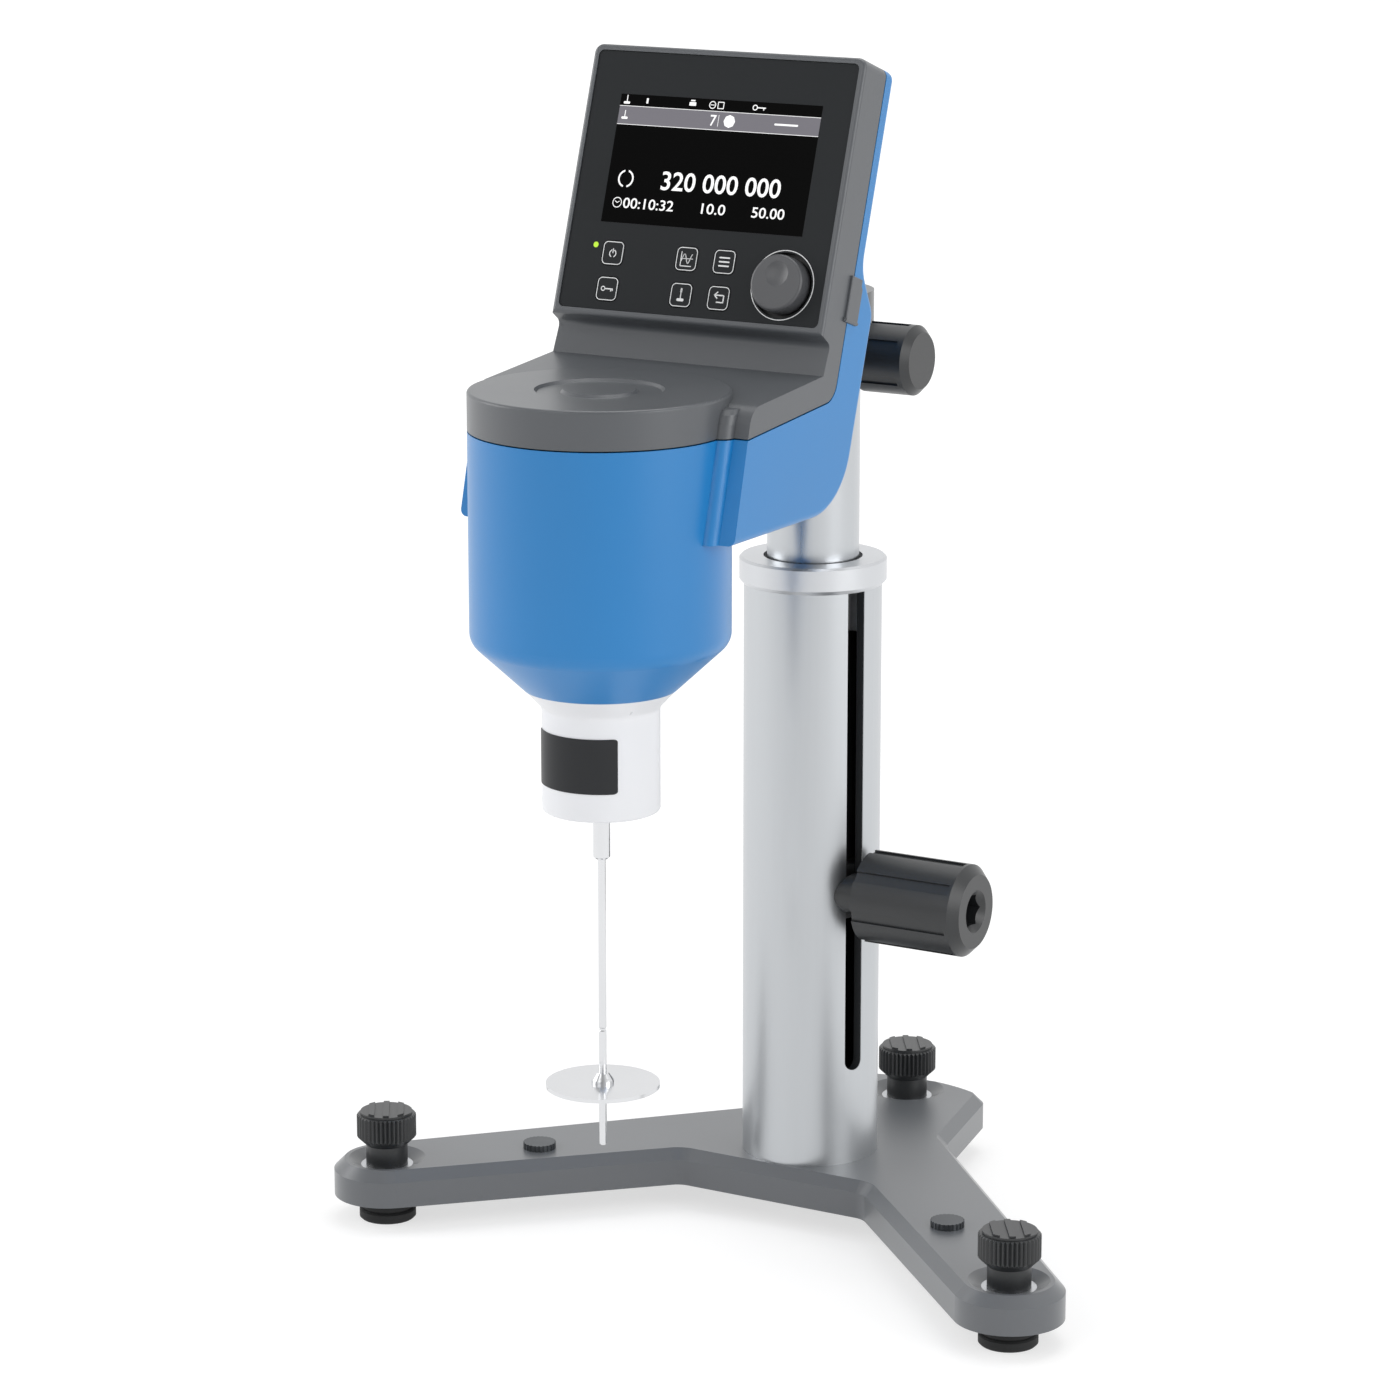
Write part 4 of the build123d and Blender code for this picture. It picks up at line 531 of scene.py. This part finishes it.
class Artwork:
    """Flat printed marks, drawn in millimetres on the panel."""

    def __init__(self) -> None:
        """Start with nothing drawn."""
        self.shape = bmesh.new()

    def _keep(self, part: bmesh.types.BMesh, place: Matrix) -> None:
        """Move a part into place and add it to the drawing.

        Args:
            part: the part, freed afterwards.
            place: where it goes on the panel.
        """
        bmesh.ops.transform(part, matrix=place, verts=part.verts)
        mesh = bpy.data.meshes.new("part")
        part.to_mesh(mesh)
        part.free()
        self.shape.from_mesh(mesh)
        bpy.data.meshes.remove(mesh)

    def frame(self, centre: Point, width: float, height: float, corner: float, line: float) -> None:
        """Draw a rounded frame, or a filled plate where line is 0.

        Args:
            centre: middle of the frame.
            width: outer width.
            height: outer height.
            corner: corner radius, 0 for square corners.
            line: width of the line.
        """
        part = bmesh.new()
        bmesh.ops.create_grid(part, x_segments=1, y_segments=1, size=0.5)
        bmesh.ops.transform(part, matrix=Matrix.Diagonal((width, height, 1, 1)), verts=part.verts)
        if corner:
            bmesh.ops.bevel(
                part,
                geom=part.verts[:],
                offset=corner,
                affect="VERTICES",
                segments=6,
                profile=0.5,
                material=-1,
            )
        if line:
            bmesh.ops.inset_individual(part, faces=part.faces[:], thickness=line)
            inner = max(part.faces, key=lambda face: len(face.verts))
            bmesh.ops.delete(part, geom=[inner], context="FACES_ONLY")
        self._keep(part, Matrix.Translation((*centre, 0)))

    def ring(
        self,
        centre: Point,
        radius: float,
        line: float,
        cuts: Sequence[float] = (),
        sides: int = 72,
    ) -> None:
        """Draw a circle line, or a filled disc where line is 0.

        Args:
            centre: middle of the circle.
            radius: outer radius.
            line: width of the line.
            cuts: angle in degrees and half width in millimetres of a gap cut through the ring.
            sides: number of straight sides.
        """
        part = bmesh.new()
        bmesh.ops.create_circle(part, cap_ends=True, segments=sides, radius=radius)
        if line:
            bmesh.ops.inset_individual(part, faces=part.faces[:], thickness=line)
            inner = max(part.faces, key=lambda face: len(face.verts))
            bmesh.ops.delete(part, geom=[inner], context="FACES_ONLY")
        if cuts:
            angle, half = cuts
            across = Vector((-math.sin(math.radians(angle)), math.cos(math.radians(angle)), 0))
            for side in (-1, 1):
                bmesh.ops.bisect_plane(
                    part,
                    geom=part.verts[:] + part.edges[:] + part.faces[:],
                    plane_co=across * half * side,
                    plane_no=across,
                )
            gap = [f for f in part.faces if abs(f.calc_center_median().dot(across)) < half]
            bmesh.ops.delete(part, geom=gap, context="FACES")
        self._keep(part, Matrix.Translation((*centre, 0)))

    def stroke(self, points: Sequence[Point], line: float) -> None:
        """Draw straight strokes through points, with round joints.

        Args:
            points: corners of the path.
            line: width of the line.
        """
        for start, end in zip(points, points[1:]):
            run = Vector(end) - Vector(start)
            middle = (Vector(start) + Vector(end)) / 2
            part = bmesh.new()
            bmesh.ops.create_grid(part, x_segments=1, y_segments=1, size=0.5)
            size = Matrix.Diagonal((run.length, line, 1, 1))
            turn = Matrix.Rotation(math.atan2(run.y, run.x), 4, "Z")
            self._keep(part, Matrix.Translation((*middle, 0)) @ turn @ size)
        for point in points[1:-1]:
            self.ring(point, line / 2, 0, sides=12)

    def digits(self, text: str, centre: Point, height: float, width: float, weight: float) -> None:
        """Write figures.

        Args:
            text: figures, spaces and colons.
            centre: middle of the line of figures.
            height: height of a figure.
            width: length of the line.
            weight: extra thickness of the strokes, in the font's units.
        """
        curve = bpy.data.curves.new("figures", "FONT")
        curve.body = text
        curve.align_x = "CENTER"
        curve.offset = weight
        curve.resolution_u = 4
        written = bpy.data.objects.new("figures", curve)
        mesh = bpy.data.meshes.new_from_object(written)
        bpy.data.objects.remove(written)
        bpy.data.curves.remove(curve)
        xs = [v.co.x for v in mesh.vertices]
        ys = [v.co.y for v in mesh.vertices]
        low = Vector(((min(xs) + max(xs)) / 2, (min(ys) + max(ys)) / 2, 0))
        size = Matrix.Diagonal((width / (max(xs) - min(xs)), height / (max(ys) - min(ys)), 1, 1))
        mesh.transform(Matrix.Translation((*centre, 0)) @ size @ Matrix.Translation(-low))
        self.shape.from_mesh(mesh)
        bpy.data.meshes.remove(mesh)

    def finish(self, name: str, body: str, look: Finish, place: Matrix) -> None:
        """Turn the drawing into a piece.

        Args:
            name: name of the piece.
            body: moving body that it rides on.
            look: what it is dressed in.
            place: transform from the drawing to the scene.
        """
        bmesh.ops.transform(self.shape, matrix=place, verts=self.shape.verts)
        mesh = bpy.data.meshes.new(name)
        self.shape.to_mesh(mesh)
        self.shape.free()
        piece = add_piece(mesh, name, look)
        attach(piece, body)
        LOG.info("%s in %s, on %s", name, look.name, body)


class KeySign(Enum):
    """What is printed on each key."""

    POWER = "power"
    LOCK = "lock"
    GRAPH = "graph"
    SPINDLE = "spindle"
    MENU = "menu"
    BACK = "back"


@dataclass
class Keypad(SubAssembly):
    """Six keys with a printed outline and sign each."""

    columns: tuple[float, float, float] = (-39.2, -4.0, 13.7)
    rows: tuple[float, float] = (8.8, 23.8)
    size: float = 9.6
    corner: float = 2.0
    line: float = 0.33
    lift: float = 0.23

    def place(self, sign: KeySign) -> Point:
        """Find the middle of a key on the panel.

        Args:
            sign: which key.

        Returns:
            Distance to the right and height over the panel's lower edge.
        """
        places = {
            KeySign.POWER: (0, 1),
            KeySign.LOCK: (0, 0),
            KeySign.GRAPH: (1, 1),
            KeySign.SPINDLE: (1, 0),
            KeySign.MENU: (2, 1),
            KeySign.BACK: (2, 0),
        }
        column, row = places[sign]
        return self.columns[column], self.rows[row]

    def draw(self, sign: KeySign, art: Artwork) -> None:
        """Draw one sign about the origin.

        Args:
            sign: which key.
            art: the drawing to add to.
        """
        if sign is KeySign.POWER:
            art.ring((0, -0.2), 1.7, 0.42, cuts=(90, 0.55))
            art.stroke([(0, -0.1), (0, 1.9)], 0.42)
        elif sign is KeySign.LOCK:
            art.ring((-1.9, 0), 1.05, 0.38)
            art.stroke([(-0.95, 0), (2.8, 0)], 0.5)
            art.stroke([(1.9, 0), (1.9, -0.95)], 0.5)
            art.stroke([(2.6, 0), (2.6, -0.75)], 0.5)
        elif sign is KeySign.GRAPH:
            art.stroke([(-2.6, 3.0), (-2.6, -3.0), (2.6, -3.0)], 0.38)
            art.stroke([(-3.0, 0.1), (3.0, 0.1)], 0.25)
            wave = [(0.25 * i - 2.4, 1.9 * math.sin(i * 0.42 - 0.6) + 0.1) for i in range(21)]
            art.stroke(wave, 0.36)
        elif sign is KeySign.SPINDLE:
            art.stroke([(0, -1.4), (0, 2.9)], 0.38)
            art.frame((0, 1.9), 0.8, 1.7, 0.2, 0)
            art.frame((0, -2.0), 3.4, 1.2, 0.55, 0)
        elif sign is KeySign.MENU:
            for height in (-1.7, 0.0, 1.7):
                art.frame((0, height), 5.0, 0.62, 0.25, 0)
        else:
            art.stroke([(2.4, 1.2), (-1.9, 1.2)], 0.5)
            art.stroke([(-0.5, 2.6), (-2.0, 1.2), (-0.5, -0.2)], 0.5)
            art.stroke([(2.4, 1.2), (2.4, -1.7), (-0.8, -1.7)], 0.5)

    def detail(self) -> None:
        """Print the keys."""
        for sign in KeySign:
            art = Artwork()
            art.frame((0, 0), self.size, self.size, self.corner, self.line)
            self.draw(sign, art)
            place = PanelFace().matrix(self.lift) @ Matrix.Translation((*self.place(sign), 0))
            art.finish(f"key_{sign.value}_print", f"key_{sign.value}", Kit.PRINT, place)


@dataclass
class Display(SubAssembly):
    """Front panel, display pane and what is lit or printed on them."""

    body: str = "head"
    width: float = 95.04
    margin: float = 0.1
    bar_height: float = 7.7
    status_row: float = 88.0
    bar_row: float = 81.6
    large_row: float = 55.3
    small_row: float = 45.0
    small_figures: float = 4.4
    icon_column: float = -44.3
    rule: float = 0.22
    dial: Point = (42.0, 16.3)
    ring_radius: float = 14.45
    ring_line: float = 0.36
    printed_lift: float = 0.03
    lit_lift: float = 0.06

    def figures(self, art: Artwork) -> None:
        """Draw the figures.

        Args:
            art: the drawing to add to.
        """
        art.digits("320 000 000", (6.2, self.large_row), 7.9, 56.0, 0.012)
        readings = (("00:10:32", -26.3, 24.0), ("10.0", 4.6, 11.2), ("50.00", 30.2, 15.2))
        for text, column, width in readings:
            art.digits(text, (column, self.small_row), self.small_figures, width, 0.008)
        art.digits("7", (-2.2, self.bar_row), 4.6, 2.9, 0.008)
        art.digits("1", (-34.6, self.status_row), 2.2, 0.9, 0.012)

    def signs(self, art: Artwork) -> None:
        """Draw the plain signs.

        Args:
            art: the drawing to add to.
        """
        status, bar, small = self.status_row, self.bar_row, self.small_row
        art.ring((-38.9, 55.1), 3.7, 0.75, cuts=(90, 0.85))
        art.ring((-41.2, small), 2.2, 0.35)
        art.stroke([(-42.3, small + 0.6), (-41.2, small - 0.1), (-40.2, small + 0.5)], 0.32)
        for row in (status, bar):
            art.frame((self.icon_column, row - 1.2), 3.0, 1.0, 0.4, 0)
            art.stroke([(self.icon_column, row - 0.8), (self.icon_column, row + 2.0)], 0.4)
        art.frame((-13.0, status - 0.1), 3.2, 1.5, 0.3, 0)
        art.frame((-13.0, status + 1.3), 2.0, 0.6, 0, 0)
        art.ring((-3.6, status), 1.6, 0.35)
        art.stroke([(-4.6, status), (-2.6, status)], 0.3)
        art.frame((0.3, status), 3.0, 3.0, 0.3, 0.35)
        art.ring((16.4, status), 1.2, 0.4)
        art.stroke([(17.5, status), (21.4, status)], 0.45)
        art.stroke([(20.5, status), (20.5, status - 1.0)], 0.45)
        art.ring((5.4, bar), 2.7, 0, sides=8)
        art.stroke([(0.2, bar - 2.4), (0.2, bar + 2.4)], self.rule)
        for row in (bar - self.bar_height / 2, bar + self.bar_height / 2):
            art.frame((0, row), self.width - 2 * self.margin, self.rule, 0, 0)
        art.frame((32.0, bar), 11.0, 0.8, 0.3, 0)

    def lit(self) -> None:
        """Draw what the display shows: figures and plain signs."""
        art = Artwork()
        self.figures(art)
        self.signs(art)
        art.finish("screen_figures", self.body, Kit.LIT, PanelFace().matrix(self.lit_lift))

    def bar(self) -> None:
        """Draw the grey bar across the display."""
        art = Artwork()
        art.frame((0, self.bar_row), self.width - 2 * self.margin, self.bar_height, 0, 0)
        art.finish("screen_bar", self.body, Kit.LIT_GREY, PanelFace().matrix(self.printed_lift))

    def printed(self) -> None:
        """Print the ring round the dial."""
        art = Artwork()
        art.ring(self.dial, self.ring_radius, self.ring_line, sides=96)
        art.finish("dial_ring_print", self.body, Kit.PRINT, PanelFace().matrix(self.printed_lift))

    def detail(self) -> None:
        """Add the lit and printed marks."""
        self.bar()
        self.lit()
        self.printed()


@dataclass(frozen=True)
class Lamp:
    """A square soft lamp: where it hangs, its side length in metres and its light in watts."""

    name: str
    place: tuple[float, float, float]
    size: float
    power: float

    def hang(self, target: Vector) -> None:
        """Hang the lamp so that it points at a target.

        Args:
            target: the point it lights, in metres.
        """
        data = bpy.data.lights.new(self.name, "AREA")
        data.size = self.size
        data.energy = self.power
        lamp = bpy.data.objects.new(self.name, data)
        lamp.location = self.place
        lamp.rotation_euler = (Vector(self.place) - target).to_track_quat("Z", "Y").to_euler()
        bpy.context.scene.collection.objects.link(lamp)


@dataclass
class Studio:
    """Floor, backdrop light, lamps and camera."""

    camera_place: tuple[float, float, float] = (0.9591, -1.68595, 0.7041)
    camera_back: tuple[float, float, float] = (0.4897, -0.8407, 0.2312)
    lens: float = 120.58
    sensor: float = 36.0
    reach: float = 50.0
    floor_size: float = 12.0
    floor_white: float = 0.93
    floor_light: float = 1.15
    near_share: float = 0.55
    near: float = 0.3
    far: float = 0.9
    ambient: float = 0.58
    front_dimming: float = 0.6
    target: tuple[float, float, float] = (0, -0.02, 0.26)
    lamps: tuple[Lamp, ...] = (
        Lamp("left_side", (-1.9, -0.7, 1.0), 1.2, 13.0),
        Lamp("right_side", (1.9, -0.2, 0.9), 1.2, 13.0),
        Lamp("front", (-0.3, -2.2, 1.5), 1.4, 10.0),
        Lamp("top", (0.0, 0.4, 2.2), 1.4, 15.0),
    )

    def camera(self) -> None:
        """Place the camera as the photograph's was."""
        data = bpy.data.cameras.new("camera")
        data.lens = self.lens
        data.sensor_width = self.sensor
        data.clip_end = self.reach
        camera = bpy.data.objects.new("camera", data)
        camera.location = self.camera_place
        camera.rotation_euler = Vector(self.camera_back).to_track_quat("Z", "Y").to_euler()
        bpy.context.scene.collection.objects.link(camera)
        bpy.context.scene.camera = camera

    def shown(self, graph: Graph) -> Value:
        """Tell the rays that see the backdrop itself from those that only light the object.

        Args:
            graph: node tree that asks.

        Returns:
            1 on rays that are straight from the camera, mirrored or through glass, else 0.
        """
        path = graph.node("ShaderNodeLightPath")
        seen = Value(graph, path.outputs["Is Camera Ray"])
        mirrored = Value(graph, path.outputs["Is Glossy Ray"])
        through = Value(graph, path.outputs["Is Transmission Ray"])
        return graph.math("MAXIMUM", graph.math("MAXIMUM", seen, through), mirrored)

    def world(self) -> None:
        """Light the scene evenly, white behind, with a dimmer room in front that only gloss shows."""
        world = bpy.data.worlds.new("studio")
        graph = Graph(world)
        direction = graph.value("ShaderNodeTexCoord", "Generated")
        way = graph.node("ShaderNodeSeparateXYZ", {}, {0: direction})
        across = graph.math("ABSOLUTE", Value(graph, way.outputs[0]))
        behind = Value(graph, way.outputs[1])
        bright = graph.math("MAXIMUM", across.ramp(0.35, 0.95), behind.ramp(-0.2, 0.4))
        mirrored = graph.value("ShaderNodeLightPath", "Is Glossy Ray")
        room = 1.0 - mirrored * (1.0 - bright) * self.front_dimming
        strength = self.ambient + (room - self.ambient) * self.shown(graph)
        light = {"Color": (1, 1, 1, 1), "Strength": strength}
        shader = graph.value("ShaderNodeBackground", 0, {}, light)
        graph.node("ShaderNodeOutputWorld", {}, {"Surface": shader})
        bpy.context.scene.world = world

    def floor(self) -> None:
        """Lay a plain white floor that keeps the object's shadow."""
        shape = bmesh.new()
        bmesh.ops.create_grid(shape, x_segments=1, y_segments=1, size=self.floor_size / 2)
        mesh = bpy.data.meshes.new("floor")
        shape.to_mesh(mesh)
        shape.free()
        material = bpy.data.materials.new("white floor")
        graph = Graph(material)
        point = graph.value("ShaderNodeTexCoord", "Object")
        distance = graph.value("ShaderNodeVectorMath", "Value", {"operation": "LENGTH"}, {0: point})
        spread = distance.ramp(self.near, self.far)
        share = self.shown(graph) * (self.near_share + (1 - self.near_share) * spread)
        light = {"Color": (1, 1, 1, 1), "Strength": self.floor_light}
        white = graph.value("ShaderNodeEmission", 0, {}, light)
        paint = {"Color": (self.floor_white, self.floor_white, self.floor_white, 1)}
        paper = graph.value("ShaderNodeBsdfDiffuse", 0, {}, paint)
        mixed = graph.value("ShaderNodeMixShader", 0, {}, {0: share, 1: paper, 2: white})
        graph.node("ShaderNodeOutputMaterial", {}, {"Surface": mixed})
        mesh.materials.append(material)
        floor = bpy.data.objects.new("floor", mesh)
        bpy.context.scene.collection.objects.link(floor)

    def build(self) -> None:
        """Set the whole studio up."""
        self.camera()
        self.world()
        self.floor()
        for lamp in self.lamps:
            lamp.hang(Vector(self.target))
        bpy.context.scene.view_settings.view_transform = "Standard"
        LOG.info("studio: camera, world, floor and %d lamps", len(self.lamps))


def assemblies() -> Iterable[SubAssembly]:
    """List the sub-assemblies with the finish of each solid.

    Returns:
        The sub-assemblies in the order they are built.
    """
    sides = ("left", "right", "rear")
    yield SubAssembly(
        "stand",
        {
            "base_plate": Kit.BASE,
            "foot_bushes": Kit.TURNED,
            "arm_plugs": Kit.PLUG,
            "base_rear_screw": Kit.STEEL,
            "tube_plug": Kit.TURNED,
            "tube_screws": Kit.STEEL,
            "outer_tube": Kit.TUBE,
            "collar": Kit.TURNED,
            "guide_bush": Kit.POLYMER,
        },
    )
    yield SubAssembly(
        "feet",
        {f"foot_knob_{side}": Kit.KNOB for side in sides}
        | {f"foot_pad_{side}": Kit.RUBBER for side in sides},
    )
    yield SubAssembly(
        "mast",
        {
            "inner_tube": Kit.MAST,
            "inner_tube_cap": Kit.KNOB,
            "guide_shoe": Kit.STEEL,
            "saddle_washer": Kit.KNOB,
            "clamp_knob": Kit.KNOB,
            "clamp_bolt": Kit.STEEL,
            "upper_knob": Kit.KNOB,
            "upper_stud": Kit.STEEL,
            "pressure_pad": Kit.POLYMER,
            "head_bracket": Kit.BRACKET,
            "bracket_screws": Kit.STEEL,
        },
    )
    yield SubAssembly(
        "housing",
        {
            "upper_housing": Kit.GREY,
            "lower_housing": Kit.BLUE,
            "bearing_housing": Kit.WHITE,
            "badge_plate": Kit.PLATE,
            "port_cover": Kit.GREY,
            "sockets": Kit.SOCKET,
            "housing_screws": Kit.STEEL,
            "retaining_ring": Kit.STEEL,
        },
    )
    yield SubAssembly(
        "drive",
        {
            "main_board": Kit.BOARD,
            "key_board": Kit.SOCKET,
            "sensor_board": Kit.BOARD,
            "motor_frame": Kit.TURNED,
            "motor_body": Kit.MOTOR,
            "motor_shaft": Kit.STEEL,
            "drive_hub": Kit.TURNED,
            "torsion_spring": Kit.SPRING,
            "bearing_cartridge": Kit.STEEL,
            "ball_bearings": Kit.POLISHED,
            "measuring_shaft": Kit.POLISHED,
            "spindle": Kit.POLISHED,
            "encoder_body": Kit.SOCKET,
            "encoder_shaft": Kit.STEEL,
            "encoder_plunger": Kit.STEEL,
            "display_module": Kit.SOCKET,
        },
    )
    yield Display(
        "display",
        {
            "front_panel": Kit.FILM,
            "display_pane": Kit.SCREEN,
            "light_guide": Kit.PILOT,
            "dial_knob": Kit.DIAL,
        },
    )
    yield Keypad("keypad", {f"key_{sign.value}": Kit.FILM for sign in KeySign})


def main() -> None:
    """Build every sub-assembly, then the studio."""
    logging.basicConfig(level=logging.INFO, format="%(name)s %(message)s")
    for assembly in assemblies():
        assembly.build()
    Studio().build()


if __name__ == "__main__":
    main()
